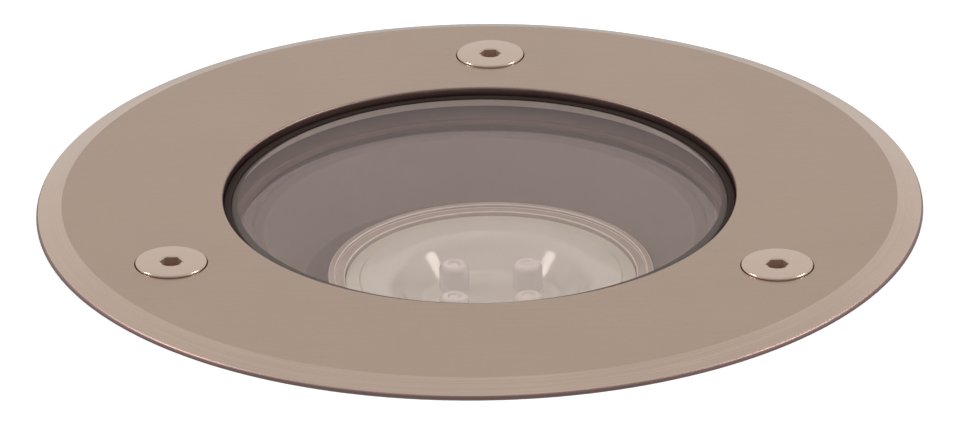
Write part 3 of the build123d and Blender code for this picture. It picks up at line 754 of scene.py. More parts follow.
class Workpiece:
    """A mesh in the making, with the operations that this light's pieces need."""

    def __init__(self) -> None:
        """Start an empty mesh."""
        self.mesh = bmesh.new()

    def round_corners(self, verts: Sequence[Vert], reach: float) -> None:
        """Round corners of an outline or of a flat sheet.

        Args:
            verts: The corners.
            reach: How far the rounding reaches along the edges.
        """
        bmesh.ops.bevel(
            self.mesh,
            geom=verts,
            offset=reach,
            affect="VERTICES",
            segments=ROUND_SEGMENTS,
            profile=0.5,
            material=-1,
        )

    def outline(self, corners: Sequence[Corner], about: Spot, closed: bool) -> list[Vert | Edge]:
        """Draw a half outline, with its rounded corners.

        Args:
            corners: The outline's corners in order.
            about: Where the axis stands.
            closed: Whether the last corner joins the first.

        Returns:
            The outline's vertices and edges.
        """
        mesh = self.mesh
        kept = set(mesh.verts)
        verts = [mesh.verts.new((about[0] + c.radius, about[1], c.height)) for c in corners]
        following = verts[1:] + verts[:1] if closed else verts[1:]
        for pair in zip(verts, following):
            mesh.edges.new(pair)
        for vert, corner in zip(verts, corners):
            if corner.rounding:
                before, after = (edge.other_vert(vert).co - vert.co for edge in vert.link_edges)
                self.round_corners([vert], corner.rounding / math.tan(before.angle(after) / 2))
        new_verts = [vert for vert in mesh.verts if vert not in kept]
        new_edges = dict.fromkeys(edge for vert in new_verts for edge in vert.link_edges)
        return [*new_verts, *new_edges]

    def spin(
        self, drawn: Sequence[Vert | Edge], about: Spot, steps: int, turns: int = 1, pitch: float = 0.0
    ) -> None:
        """Turn an outline about an upright axis, or along a helix.

        Args:
            drawn: The outline's vertices and edges.
            about: Where the axis stands.
            steps: How many faces there are in a turn.
            turns: How many turns there are.
            pitch: How far the outline rises in a turn.
        """
        bmesh.ops.spin(
            self.mesh,
            geom=drawn,
            cent=(*about, 0.0),
            axis=UP,
            dvec=(0.0, 0.0, pitch / steps),
            angle=FULL_TURN * turns,
            steps=steps * turns,
            use_merge=not pitch,
            use_duplicate=False,
        )

    def turn(
        self,
        corners: Sequence[Corner],
        about: Spot = MIDDLE,
        steps: int = COVER_STEPS,
        closed: bool = False,
    ) -> "Workpiece":
        """Turn a half outline about an upright axis.

        Args:
            corners: The outline's corners in order.
            about: Where the axis stands.
            steps: How many faces there are round the axis.
            closed: Whether the last corner joins the first.

        Returns:
            The workpiece itself.
        """
        drawn = self.outline(corners, about, closed)
        self.spin(drawn, about, steps)
        return self

    def fill(self, rims: Sequence[Edge]) -> None:
        """Fill the level area between rims."""
        bmesh.ops.triangle_fill(self.mesh, use_beauty=True, use_dissolve=False, edges=rims, normal=UP)

    def fill_level(self, height: float) -> "Workpiece":
        """Fill the level area between all the open rims at one height.

        Args:
            height: The rims' height.

        Returns:
            The workpiece itself.
        """
        rims = [
            edge
            for edge in self.mesh.edges
            if edge.is_boundary and all(abs(vert.co.z - height) < WELD_DISTANCE for vert in edge.verts)
        ]
        self.fill(rims)
        return self

    def weld(self) -> "Workpiece":
        """Merge doubles and turn the faces outwards.

        Returns:
            The workpiece itself.
        """
        bmesh.ops.remove_doubles(self.mesh, verts=self.mesh.verts, dist=WELD_DISTANCE)
        bmesh.ops.recalc_face_normals(self.mesh, faces=self.mesh.faces)
        return self

    def copy_node(self, node: str) -> "Workpiece":
        """Take a CAD node's shape, merged into whole faces.

        Args:
            node: The node's name.

        Returns:
            The workpiece itself.
        """
        mesh = self.mesh
        mesh.from_mesh(frame["nodes"][node].data)
        bmesh.ops.remove_doubles(mesh, verts=mesh.verts, dist=NODE_WELD)
        bmesh.ops.dissolve_limit(
            mesh,
            angle_limit=FLAT_ANGLE,
            use_dissolve_boundaries=False,
            verts=mesh.verts,
            edges=mesh.edges,
        )
        return self

    def take_in(self, other: "Workpiece") -> None:
        """Add another workpiece's shape to this one.

        Args:
            other: The other workpiece, which is used up.
        """
        data = other.finish("taken_in")
        self.mesh.from_mesh(data)
        bpy.data.meshes.remove(data)

    def finish(self, name: str) -> bpy.types.Mesh:
        """Use the workpiece up for a mesh that an object can show.

        Args:
            name: What the mesh is called.

        Returns:
            The mesh.
        """
        data = bpy.data.meshes.new(name)
        self.mesh.to_mesh(data)
        self.mesh.free()
        return data


@dataclass(frozen=True)
class Piece:
    """A shown piece: its name, its CAD node and the finishes of its faces."""

    name: str
    node: str
    finishes: tuple[Finish, ...]
    crease: float = 30.0

    def show(self, work: Workpiece, choose: Callable[[Face], Finish] | None = None) -> bpy.types.Object:
        """Turn a workpiece into a shown object that rides on its body.

        Args:
            work: The piece's mesh, which is used up.
            choose: Gives a face's finish. Without it all faces have the first.

        Returns:
            The shown object.
        """
        mesh = work.mesh
        mesh.normal_update()
        limit = math.radians(self.crease)
        for edge in mesh.edges:
            edge.smooth = len(edge.link_faces) == 2 and edge.calc_face_angle(0.0) < limit
        flat_map = mesh.loops.layers.uv.new("flat")
        for face in mesh.faces:
            face.smooth = True
            face.material_index = self.finishes.index(choose(face)) if choose else 0
            for loop in face.loops:
                loop[flat_map].uv = loop.vert.co.xy
        data = work.finish(self.name)
        for finish in self.finishes:
            data.materials.append(material_of(finish))
        shown = put_in_scene(self.name, data)
        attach(shown, body_of(self.node))
        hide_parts(self.node)
        log.info("%s: %d faces for %s", self.name, len(data.polygons), self.node)
        return shown


class SubAssembly(ABC):
    """A part of the light or of its studio that is built in one go."""

    @abstractmethod
    def build(self) -> None:
        """Model, dress and show the sub-assembly's pieces."""


# ---------------------------------------------------------------- cover
@dataclass(frozen=True)
class CoverRing(SubAssembly):
    """Bevelled steel ring with its opening and three screw recesses."""

    bevel_width: float = 3.9 * MM
    bevel_angle: float = math.radians(17)
    edge_round: float = 0.65 * MM
    opening_r: float = 39.1 * MM
    opening_round: float = 0.35 * MM
    opening_margin: float = 0.49 * MM      # flat steel between the opening's rounding and the filled face
    skirt_r: float = 57.5 * MM
    relief_r: float = 61.0 * MM
    relief: float = 0.2 * MM
    recess_r: float = 5.42 * MM
    recess_chamfer: float = 0.1 * MM
    hole_r: float = 2.75 * MM
    least_level: float = 0.8               # how far the face and the bevel must face up

    def choose(self, face: Face) -> Finish:
        """Choose a face's steel.

        Args:
            face: One of the ring's faces.

        Returns:
            Brushed for the level face and the opening's rounding, lighter steel (painted sheen) for the
            bevel and darker steel (painted shade) for the rest.
        """
        _, high = box_of("cover_ring")
        middle = face.calc_center_median()
        # Faces that turn away from overhead, and the underside, get the darker steel: painted shade.
        if face.normal.z < self.least_level or middle.z < self.relief:
            return SHADED_EDGE_STEEL
        return FACE_STEEL if middle.xy.length < high.x - self.bevel_width else BEVEL_SHEEN_STEEL

    def build(self) -> None:
        """Turn the ring's outside, opening and recesses, and fill its two flat faces between them."""
        low, high = box_of("cover_ring")
        outer_r, top, under = high.x, high.z, low.z
        face_r = outer_r - self.bevel_width
        bevel_low = top - self.bevel_width * math.tan(self.bevel_angle)
        work = Workpiece()
        work.turn(
            [
                Corner(face_r, top),
                Corner(outer_r, bevel_low, self.edge_round),
                Corner(outer_r, 0.0),
                Corner(self.relief_r, 0.0),
                Corner(self.relief_r, self.relief),
                Corner(self.skirt_r, self.relief),
                Corner(self.skirt_r, under),
            ]
        )
        work.turn(
            [
                Corner(self.opening_r, under),
                Corner(self.opening_r, top, self.opening_round),
                Corner(self.opening_r + self.opening_margin, top),
            ]
        )
        for number in SCREW_NUMBERS:
            washer_low, _ = box_of(f"screw_washer_{number}")
            work.turn(
                [
                    Corner(self.hole_r, under),
                    Corner(self.hole_r, washer_low.z),
                    Corner(self.recess_r, washer_low.z),
                    Corner(self.recess_r, top - self.recess_chamfer),
                    Corner(self.recess_r + self.recess_chamfer, top),
                ],
                about=place_of(f"cover_screw_{number}"),
                steps=SMALL_STEPS,
            )
        work.fill_level(top).fill_level(under).weld()
        finishes = (FACE_STEEL, BEVEL_SHEEN_STEEL, SHADED_EDGE_STEEL)
        Piece("cover_ring_steel", "cover_ring", finishes, crease=14.0).show(work, self.choose)


@dataclass(frozen=True)
class CoverScrew(SubAssembly):
    """Low flat-headed screw with a hexagon socket and a threaded shank."""

    number: int
    edge_round: float = 0.3 * MM
    seat_round: float = 0.15 * MM
    head_height: float = 2.4 * MM
    socket_flats: float = 3.0 * MM
    socket_mouth: float = 1.06        # of the mouth's chamfer over the hexagon's corners
    socket_chamfer: float = 0.12 * MM
    socket_depth: float = 1.3 * MM
    socket_cone: float = 0.2 * MM
    inside_r: float = 1.8 * MM        # a face is the socket's inside within this radius,
    inside_depth: float = 0.18 * MM   # and from this far below the head's top down to its seat
    thread_r: float = 2.5 * MM
    thread_depth: float = 0.45 * MM
    thread_pitch: float = 0.8 * MM
    thread_crest: float = 0.1 * MM
    neck_length: float = 1.2 * MM
    neck_taper: float = 0.3 * MM
    neck_overlap: float = 0.1 * MM    # of the thread's end over the neck's taper
    tip_chamfer: float = 0.5 * MM

    @property
    def node(self) -> str:
        """Name of the screw's CAD node."""
        return f"cover_screw_{self.number}"

    @property
    def corner_r(self) -> float:
        """How far the hexagon's corners are from the axis."""
        return self.socket_flats / math.sqrt(3)

    @property
    def core_r(self) -> float:
        """Radius at the foot of the thread."""
        return self.thread_r - self.thread_depth

    def choose(self, face: Face) -> Finish:
        """Choose a face's steel.

        Args:
            face: One of the screw's faces.

        Returns:
            Dull for the inside of the socket and polished for the rest.
        """
        _, high = box_of(self.node)
        middle = face.calc_center_median()
        near_axis = math.dist(middle.xy, place_of(self.node)) < self.inside_r
        in_head = self.inside_depth < high.z - middle.z < self.head_height
        return SOCKET_STEEL if near_axis and in_head else screw_steel(self.number)

    def sink_socket(self, work: Workpiece) -> None:
        """Sink the hexagon socket below its round mouth.

        Args:
            work: The screw, with an open rim at the mouth.
        """
        mesh = work.mesh
        _, high = box_of(self.node)
        open_edges = (edge for edge in mesh.edges if edge.is_boundary)
        mouth = [edge for edge in open_edges if edge.verts[0].co.z > high.z - WELD_DISTANCE]
        centre = Vector((*place_of(self.node), high.z - self.socket_chamfer))
        corner_on_x = Matrix.Rotation(FULL_TURN / (2 * HEXAGON_SIDES), 4, "Z")
        bmesh.ops.create_circle(
            mesh,
            cap_ends=False,
            radius=self.corner_r,
            segments=HEXAGON_SIDES,
            matrix=Matrix.Translation(centre) @ corner_on_x,
        )
        sides = [edge for edge in mesh.edges if edge.is_wire]
        bmesh.ops.subdivide_edges(mesh, edges=sides, cuts=SMALL_STEPS // HEXAGON_SIDES - 1)
        hexagon = [edge for edge in mesh.edges if edge.is_wire]
        bmesh.ops.bridge_loops(mesh, edges=mouth + hexagon)
        walls = bmesh.ops.extrude_edge_only(mesh, edges=hexagon)["geom"]
        lower = [item for item in walls if isinstance(item, Vert)]
        bmesh.ops.translate(mesh, verts=lower, vec=(0.0, 0.0, -self.socket_depth))
        floor_rim = [item for item in walls if isinstance(item, Edge) and item.is_boundary]
        cone = bmesh.ops.extrude_edge_only(mesh, edges=floor_rim)["geom"]
        tip = [item for item in cone if isinstance(item, Vert)]
        bottom = centre - Vector((0.0, 0.0, self.socket_depth + self.socket_cone))
        bmesh.ops.pointmerge(mesh, verts=tip, merge_co=bottom)

    def thread(self, low: float, high: float) -> Workpiece:
        """Turn the thread's outline along a helix.

        Args:
            low: Height of the thread's lower end.
            high: Height of its upper end.

        Returns:
            The thread, closed at both ends.
        """
        work = Workpiece()
        mesh = work.mesh
        x, y = place_of(self.node)
        start = low - self.thread_pitch
        flank = (self.thread_pitch - self.thread_crest) / 2
        heights = (0.0, flank, flank + self.thread_crest, self.thread_pitch)
        radii = (self.core_r, self.thread_r, self.thread_r, self.core_r)
        verts = [mesh.verts.new((x + radius, y, start + z)) for radius, z in zip(radii, heights)]
        edges = [mesh.edges.new(pair) for pair in zip(verts, verts[1:])]
        turns = math.ceil((high - low) / self.thread_pitch) + 2
        work.spin(verts + edges, (x, y), THREAD_STEPS, turns, self.thread_pitch)
        bmesh.ops.remove_doubles(mesh, verts=mesh.verts, dist=THREAD_WELD)
        for height, way in ((low, -1.0), (high, 1.0)):
            cut = bmesh.ops.bisect_plane(
                mesh,
                geom=mesh.verts[:] + mesh.edges[:] + mesh.faces[:],
                dist=WELD_DISTANCE / 2,
                plane_co=(x, y, height),
                plane_no=(0.0, 0.0, way),
                clear_outer=True,
            )["geom_cut"]
            bmesh.ops.edgeloop_fill(mesh, edges=[item for item in cut if isinstance(item, Edge)])
        bmesh.ops.recalc_face_normals(mesh, faces=mesh.faces)
        return work

    def build(self) -> None:
        """Turn the head, sink its socket and add the threaded shank."""
        low, high = box_of(self.node)
        head_r = (high.x - low.x) / 2
        top, seat, tip = high.z, high.z - self.head_height, low.z
        neck_end = seat - self.neck_length
        work = Workpiece().turn(
            [
                Corner(self.socket_mouth * self.corner_r, top),
                Corner(head_r, top, self.edge_round),
                Corner(head_r, seat, self.seat_round),
                Corner(self.thread_r, seat),
                Corner(self.thread_r, neck_end),
                Corner(self.core_r, neck_end - self.neck_taper),
                Corner(self.core_r, tip + self.tip_chamfer),
                Corner(self.core_r - self.tip_chamfer, tip),
                Corner(0.0, tip),
            ],
            about=place_of(self.node),
            steps=SMALL_STEPS,
        )
        self.sink_socket(work)
        work.weld()
        work.take_in(self.thread(tip + self.tip_chamfer, neck_end - self.neck_overlap))
        finishes = (screw_steel(self.number), SOCKET_STEEL)
        Piece(f"screw_{self.number}_steel", self.node, finishes, crease=16.0).show(work, self.choose)


@dataclass(frozen=True)
class CoverGlass(SubAssembly):
    """Round stepped glass with a ground edge on its upper face."""

    boss_r: float = 37.8 * MM
    step_height: float = -3.75 * MM
    edge_width: float = 0.9 * MM
    edge_drop: float = 0.5 * MM
    corner_cut: float = 0.5 * MM
    upright: float = 0.2        # a face that faces up or down by less than this is upright
    level: float = 0.95         # and by more than this is level

    def choose(self, face: Face) -> Finish:
        """Choose how a face is worked.

        Args:
            face: One of the glass's faces.

        Returns:
            Ground for the sloped edges and for the raised part's side, polished for the rest.
        """
        slope = abs(face.normal.z)
        if self.upright < slope < self.level:
            return GROUND_GLASS
        on_side = slope < self.upright and face.calc_center_median().z > self.step_height
        return GLASS_SIDE if on_side else COVER_GLASS

    def build(self) -> None:
        """Turn the glass in one piece."""
        low, high = box_of("glass_lens")
        flange_r, top, under = high.x, high.z, low.z
        step, cut = self.step_height, self.corner_cut
        work = Workpiece().turn(
            [
                Corner(0.0, under),
                Corner(flange_r - cut, under),
                Corner(flange_r, under + cut),
                Corner(flange_r, step - cut),
                Corner(flange_r - cut, step),
                Corner(self.boss_r, step),
                Corner(self.boss_r, top - self.edge_drop),
                Corner(self.boss_r - self.edge_width, top),
                Corner(0.0, top),
            ]
        )
        finishes = (COVER_GLASS, GROUND_GLASS, GLASS_SIDE)
        Piece("cover_glass_disc", "glass_lens", finishes, crease=14.0).show(work.weld(), self.choose)


@dataclass(frozen=True)
class GlassGasket(SubAssembly):
    """Black gasket wrapped round the glass's step, with a lip up in the cover's opening."""

    leg_inner_r: float = 36.0 * MM
    rubber_gap: float = 0.05 * MM
    seat_gap: float = 0.02 * MM        # keeps the rubber's seat apart from the glass's lower face
    lip_round: float = 0.3 * MM

    def choose(self, face: Face) -> Finish:
        """Choose a face's rubber.

        Args:
            face: One of the gasket's faces.

        Returns:
            Paler rubber under the glass, which is painted light, and black for the rest.
        """
        glass_low, glass_high = box_of("glass_lens")
        middle = face.calc_center_median()
        under_glass = middle.z < glass_low.z - self.seat_gap / 2 and middle.xy.length < glass_high.x
        return PAINTED_LIGHT_RUBBER if under_glass else SEAL_RUBBER

    def build(self) -> None:
        """Turn the gasket round the glass's own outline."""
        low, high = box_of("glass_gasket")
        glass_low, glass_high = box_of("glass_lens")
        ring_low, _ = box_of("cover_ring")
        glass = CoverGlass()
        inside_r = glass_high.x + self.rubber_gap
        seat = glass_low.z - self.seat_gap
        lip_outer_r = CoverRing().opening_r - self.rubber_gap
        lip_inner_r = glass.boss_r + self.rubber_gap
        work = Workpiece().turn(
            [
                Corner(self.leg_inner_r, seat),
                Corner(self.leg_inner_r, low.z, self.lip_round),
                Corner(high.x, low.z, self.lip_round),
                Corner(high.x, ring_low.z, self.lip_round),
                Corner(lip_outer_r, ring_low.z),
                Corner(lip_outer_r, high.z, self.lip_round),
                Corner(lip_inner_r, high.z, self.lip_round),
                Corner(lip_inner_r, glass.step_height),
                Corner(inside_r, glass.step_height),
                Corner(inside_r, seat),
            ],
            closed=True,
        )
        finishes = (SEAL_RUBBER, PAINTED_LIGHT_RUBBER)
        Piece("glass_gasket_rubber", "glass_gasket", finishes).show(work.weld(), self.choose)


# ---------------------------------------------------------------- reflector and lamp
@dataclass(frozen=True)
class Reflector(SubAssembly):
    """Spun cone with a lip on the pot's ledge and a collar round the lamp."""

    mouth_r: float = 33.0 * MM
    mouth_round: float = 0.3 * MM
    mouth_outside: float = 0.4 * MM        # how far the cone's outside stands out at the lip
    sheet: float = 0.8 * MM
    hole_r: float = 27.0 * MM
    collar: float = 6.0 * MM
    bend_round: float = 0.6 * MM
    bend_outside_round: float = 0.5 * MM
    bend_outside_drop: float = 0.2 * MM
    lip_reach: float = 0.2 * MM            # below the top, down to which a level face is the lip's
    level: float = 0.9

    def choose(self, face: Face) -> Finish:
        """Choose a face's metal.

        Args:
            face: One of the reflector's faces.

        Returns:
            Darker, painted shade, for the level lip and grey for the rest.
        """
        _, high = box_of("reflector")
        near_top = face.calc_center_median().z > high.z - self.lip_reach
        return SHADED_REFLECTOR_LIP if face.normal.z > self.level and near_top else SPUN_REFLECTOR

    def build(self) -> None:
        """Turn the sheet's section."""
        low, high = box_of("reflector")
        lip_r, top = high.x, high.z
        bend = low.z + self.collar
        outside_r = self.hole_r + self.sheet
        work = Workpiece().turn(
            [
                Corner(self.mouth_r, top, self.mouth_round),
                Corner(lip_r, top),
                Corner(lip_r, top - self.sheet),
                Corner(self.mouth_r + self.mouth_outside, top - self.sheet),
                Corner(outside_r, bend - self.bend_outside_drop, self.bend_outside_round),
                Corner(outside_r, low.z),
                Corner(self.hole_r, low.z),
                Corner(self.hole_r, bend, self.bend_round),
            ],
            closed=True,
        )
        finishes = (SPUN_REFLECTOR, SHADED_REFLECTOR_LIP)
        Piece("reflector_cone", "reflector", finishes).show(work.weld(), self.choose)


@dataclass(frozen=True)
class LampRim(SubAssembly):
    """Clear stepped rim round the front of the lamp."""

    width: float = 2.6 * MM
    lip_width: float = 1.1 * MM
    step: float = 0.5 * MM
    outer_round: float = 0.3 * MM
    lip_round: float = 0.2 * MM
    step_round: float = 0.1 * MM
    inner_round: float = 0.2 * MM
    upright: float = 0.15       # a face that faces up by less than this is upright
    level: float = 0.97         # and by more than this is level

    def choose(self, face: Face) -> Finish:
        """Brighter plastic, a painted highlight, for the rim's rounded edges and clear for the rest."""
        return PAINTED_RIM_HIGHLIGHT if self.upright < face.normal.z < self.level else CLEAR_RIM

    def build(self) -> None:
        """Turn the rim's section."""
        low, high = box_of("lamp_rim")
        top, under = high.z, low.z
        outer_r = (high.x - low.x) / 2
        inner_r, lip_r = outer_r - self.width, outer_r - self.lip_width
        work = Workpiece().turn(
            [
                Corner(inner_r, under),
                Corner(outer_r, under),
                Corner(outer_r, top, self.outer_round),
                Corner(lip_r, top, self.lip_round),
                Corner(lip_r, top - self.step, self.step_round),
                Corner(inner_r, top - self.step, self.inner_round),
            ],
            about=place_of("lamp_rim"),
            steps=LAMP_STEPS,
            closed=True,
        )
        Piece("lamp_rim_ring", "lamp_rim", (CLEAR_RIM, PAINTED_RIM_HIGHLIGHT)).show(work.weld(), self.choose)


@dataclass(frozen=True)
class LampLens(SubAssembly):
    """Milky lens with a sunk middle, in which four dished cups stand."""

    plate_r: float = 20.0 * MM
    plate_round: float = 0.1 * MM
    band_drop: float = 0.25 * MM       # of the outer band below the plate
    band_round: float = 0.2 * MM
    bowl_r: float = 15.0 * MM
    bowl_depth: float = 4.5 * MM
    bowl_wall: float = 1.5 * MM
    bowl_mouth_round: float = 3.6 * MM
    bowl_foot: float = 0.4 * MM        # how far out the bowl's wall meets its floor
    bowl_foot_round: float = 1.2 * MM
    back_foot: float = 0.9 * MM        # the same on the lens's back
    back_round: float = 0.6 * MM
    floor_margin: float = 0.1 * MM     # turned edge of the floor, whose middle is filled
    cup_count: int = 4
    cup_turn: float = math.radians(45)
    cup_circle_r: float = 8.0 * MM
    cup_r: float = 2.3 * MM
    cup_rise: float = 4.0 * MM
    cup_round: float = 0.9 * MM
    cup_lip: float = 1.3 * MM
    cup_lip_round: float = 0.3 * MM
    dish_width: float = 0.3 * MM
    dish_depth: float = 0.4 * MM
    dish_round: float = 0.2 * MM
    dish_bulge: float = 0.2 * MM
    cup_foot_r: float = 1.7 * MM
    cup_margin: float = 0.01 * MM      # round a cup, in which a face is still the cup's
    place: Spot = field(default_factory=lambda: place_of("lamp_rim"))

    def cup_places(self) -> list[Spot]:
        """Work out where the cups stand, seen from above.

        Returns:
            The cups' middles.
        """
        angles = [self.cup_turn + FULL_TURN * index / self.cup_count for index in range(self.cup_count)]
        x, y = self.place
        return [(x + self.cup_circle_r * math.cos(a), y + self.cup_circle_r * math.sin(a)) for a in angles]

    def choose(self, face: Face) -> Finish:
        """Choose a face's plastic.

        Args:
            face: One of the lens's faces.

        Returns:
            Milky for the plate, the bowl and the cups' feet, clear for the cups and bright for
            the outer band.
        """
        middle = face.calc_center_median()
        if math.dist(middle.xy, self.place) > self.plate_r:
            return LENS_BAND
        _, high = box_of("lamp_lens")
        if middle.z < high.z - self.bowl_depth - self.bowl_wall / 2:
            return MILKY_LENS
        cup_reach = self.cup_r + self.cup_margin
        in_cup = any(math.dist(middle.xy, cup) < cup_reach for cup in self.cup_places())
        return CLEAR_LENS if in_cup else MILKY_LENS

    def build(self) -> None:
        """Turn the plate with its sunk middle, and set the cups in it."""
        low, high = box_of("lamp_lens")
        rim_low, _ = box_of("lamp_rim")
        lens_r = (high.x - low.x) / 2
        top, under = high.z, rim_low.z
        band = top - self.band_drop
        floor = top - self.bowl_depth
        floor_under = floor - self.bowl_wall
        floor_r = self.bowl_r - self.bowl_depth
        back_r = floor_r + self.back_foot
        work = Workpiece().turn(
            [
                Corner(floor_r - self.floor_margin, floor_under),
                Corner(back_r, floor_under, self.back_round),
                Corner(back_r + under - floor_under, under, self.back_round),
                Corner(lens_r, under),
                Corner(lens_r, band, self.band_round),
                Corner(self.plate_r + self.band_drop, band),
                Corner(self.plate_r, top, self.plate_round),
                Corner(self.bowl_r, top, self.bowl_mouth_round),
                Corner(floor_r + self.bowl_foot, floor, self.bowl_foot_round),
                Corner(floor_r - self.floor_margin, floor),
            ],
            about=self.place,
            steps=LAMP_STEPS,
        )
        cup_top = floor + self.cup_rise
        lip_r = self.cup_r - self.cup_lip
        cup = [
            Corner(self.cup_r, floor),
            Corner(self.cup_r, cup_top, self.cup_round),
            Corner(lip_r, cup_top, self.cup_lip_round),
            Corner(lip_r - self.dish_width, cup_top - self.dish_depth, self.dish_round),
            Corner(0.0, cup_top - self.dish_bulge),
        ]
        foot = [Corner(self.cup_r, floor_under), Corner(self.cup_foot_r, low.z), Corner(0.0, low.z)]
        for place in self.cup_places():
            work.turn(cup, about=place, steps=SMALL_STEPS)
            work.turn(foot, about=place, steps=SMALL_STEPS)
        work.fill_level(floor).fill_level(floor_under).weld()
        finishes = (MILKY_LENS, CLEAR_LENS, LENS_BAND)
        Piece("lamp_lens_plate", "lamp_lens", finishes).show(work, self.choose)


# ---------------------------------------------------------------- pieces that keep their CAD shape
@dataclass(frozen=True)
class KeptShape(SubAssembly):
    """Piece that keeps its CAD shape, with merged faces, smooth rounds and softened edges."""

    node: str
    finish: Finish
    edge_round: float = 0.0

    def build(self) -> None:
        """Take the node's shape, smooth it and soften its edges."""
        work = Workpiece().copy_node(self.node)
        shown = Piece(f"{self.node}_made", self.node, (self.finish,)).show(work)
        if self.edge_round:
            rounding = shown.modifiers.new("rounded edges", "BEVEL")
            rounding.width = self.edge_round
            rounding.segments = 2
            rounding.limit_method = "ANGLE"
            rounding.angle_limit = EDGE_ANGLE
            rounding.use_clamp_overlap = True
            rounding.harden_normals = True


class KeptGroup(SubAssembly):
    """Sub-assembly of pieces that keep their CAD shape."""

    @abstractmethod
    def pieces(self) -> tuple[KeptShape, ...]:
        """The sub-assembly's pieces, in the order in which they are built."""

    def build(self) -> None:
        """Build each piece."""
        for piece in self.pieces():
            piece.build()


@dataclass(frozen=True)
class LampInside(KeptGroup):
    """What the lamp's lens and rim close off, its base and its two pins."""

    base_round: float = 0.2 * MM
    board_round: float = 0.08 * MM
    chip_round: float = 0.06 * MM
    pin_round: float = 0.1 * MM

    def pieces(self) -> tuple[KeptShape, ...]:
        """List the shell, the base, the boards, the chips and the pins.

        Returns:
            The pieces.
        """
        return (
            KeptShape("lamp_body", LAMP_SHELL),
            KeptShape("lamp_base", LAMP_SHELL, self.base_round),
            KeptShape("lamp_light_board", WHITE_MASK, self.board_round),
            KeptShape("lamp_light_chips", PHOSPHOR, self.chip_round),
            KeptShape("lamp_driver_board", GREEN_MASK, self.board_round),
            KeptShape("lamp_pins", NICKEL, self.pin_round),
        )


@dataclass(frozen=True)
class Housing(KeptGroup):
    """Ground sleeve and the cast pot that hangs in it, with its inserts, gland and blanking plug."""

    sleeve_round: float = 0.25 * MM
    pot_round: float = 0.2 * MM
    insert_round: float = 0.06 * MM
    gland_round: float = 0.15 * MM
    seal_round: float = 0.1 * MM
    washer_round: float = 0.08 * MM

    def pieces(self) -> tuple[KeptShape, ...]:
        """List the sleeve, the pot, what is screwed into the pot, and the screws' washers.

        Returns:
            The pieces.
        """
        return (
            KeptShape("ground_sleeve", SLEEVE_PLASTIC, self.sleeve_round),
            KeptShape("pot", POT_COAT, self.pot_round),
            KeptShape("thread_inserts", BRASS, self.insert_round),
            KeptShape("gland_body", GLAND_NYLON, self.gland_round),
            KeptShape("gland_nut", GLAND_NYLON, self.gland_round),
            KeptShape("gland_seal", SEAL_RUBBER, self.seal_round),
            KeptShape("gland_washer", SEAL_RUBBER, self.seal_round),
            KeptShape("blanking_plug", GLAND_NYLON, self.gland_round),
            KeptShape("blanking_plug_washer", SEAL_RUBBER, self.seal_round),
            *(KeptShape(f"screw_washer_{n}", SEAL_RUBBER, self.washer_round) for n in SCREW_NUMBERS),
        )


@dataclass(frozen=True)
class Wiring(KeptGroup):
    """Lampholder on its bridge, terminal block, earth tag and the three leads between them."""

    holder_round: float = 0.2 * MM
    block_round: float = 0.15 * MM
    bridge_round: float = 0.12 * MM
    screw_round: float = 0.08 * MM
    small_round: float = 0.06 * MM

    def pieces(self) -> tuple[KeptShape, ...]:
        """List the holder, the terminals, the earth tag and the leads.

        Returns:
            The pieces.
        """
        return (
            KeptShape("lampholder", PORCELAIN, self.holder_round),
            KeptShape("lampholder_contacts", BRASS, self.small_round),
            KeptShape("lampholder_screws", ZINC, self.screw_round),
            KeptShape("lampholder_bridge", ZINC, self.bridge_round),
            KeptShape("bridge_screws", ZINC, self.screw_round),
            KeptShape("terminal_block", TERMINAL_NYLON, self.block_round),
            KeptShape("terminal_tubes", BRASS, self.small_round),
            KeptShape("terminal_screws", ZINC, self.small_round),
            KeptShape("terminal_block_screws", ZINC, self.small_round),
            KeptShape("earth_tag", ZINC, self.small_round),
            KeptShape("earth_screw", BRASS, self.small_round),
            KeptShape("live_lead", BROWN_SLEEVE),
            KeptShape("neutral_lead", BLUE_SLEEVE),
            KeptShape("earth_lead", EARTH_SLEEVE),
        )


# ---------------------------------------------------------------- studio
@dataclass(frozen=True)
class PhotoCamera(SubAssembly):
    """The photograph's viewpoint, as fitted to the cover's ellipses."""

    lens: float = 226.65                                # millimetres, as is the sensor
    sensor: float = 36.0
    distance: float = 921.1 * MM
    elevation: float = math.radians(24.774)
    roll: float = math.radians(-0.718)
    centre_px: tuple[float, float] = (479.43, 190.78)   # of the cover's upper face in the picture
    reach: float = 50.0

    def build(self) -> None:
        """Set the camera on the front of the light and aim it as the photograph is."""
        _, high = box_of("cover_ring")
        back = Vector((0.0, -math.cos(self.elevation), math.sin(self.elevation)))
        focal_px = self.lens / self.sensor * PHOTO_WIDTH
        right_by = math.atan((PHOTO_WIDTH / 2 - self.centre_px[0]) / focal_px)
        down_by = math.atan((PHOTO_HEIGHT / 2 - self.centre_px[1]) / focal_px)
        turn = (-back).to_track_quat("-Z", "Y").to_matrix()
        for angle, axis in ((self.roll, "Z"), (-right_by, "Y"), (-down_by, "X")):
            turn = turn @ Matrix.Rotation(angle, 3, axis)
        data = bpy.data.cameras.new("photo_camera")
        data.sensor_fit = "HORIZONTAL"
        data.sensor_width = self.sensor
        data.lens = self.lens
        data.clip_end = self.reach
        camera = put_in_scene("photo_camera", data)
        stand = Vector((0.0, 0.0, high.z)) + back * self.distance
        camera.matrix_world = Matrix.Translation(stand) @ turn.to_4x4()
        bpy.context.scene.camera = camera


@dataclass(frozen=True)
class Softbox(SubAssembly):
    """Large round soft lamp that faces the light."""

    name: str
    place: tuple[float, float, float]
    width: float
    power: float

    def build(self) -> None:
        """Hang the lamp in its place and turn it towards the cover."""
        data = bpy.data.lights.new(self.name, "AREA")
        data.shape = "DISK"
        data.size = self.width
        data.energy = self.power
        aim = (-Vector(self.place)).to_track_quat("-Z", "Y").to_matrix().to_4x4()
        put_in_scene(self.name, data).matrix_world = Matrix.Translation(self.place) @ aim


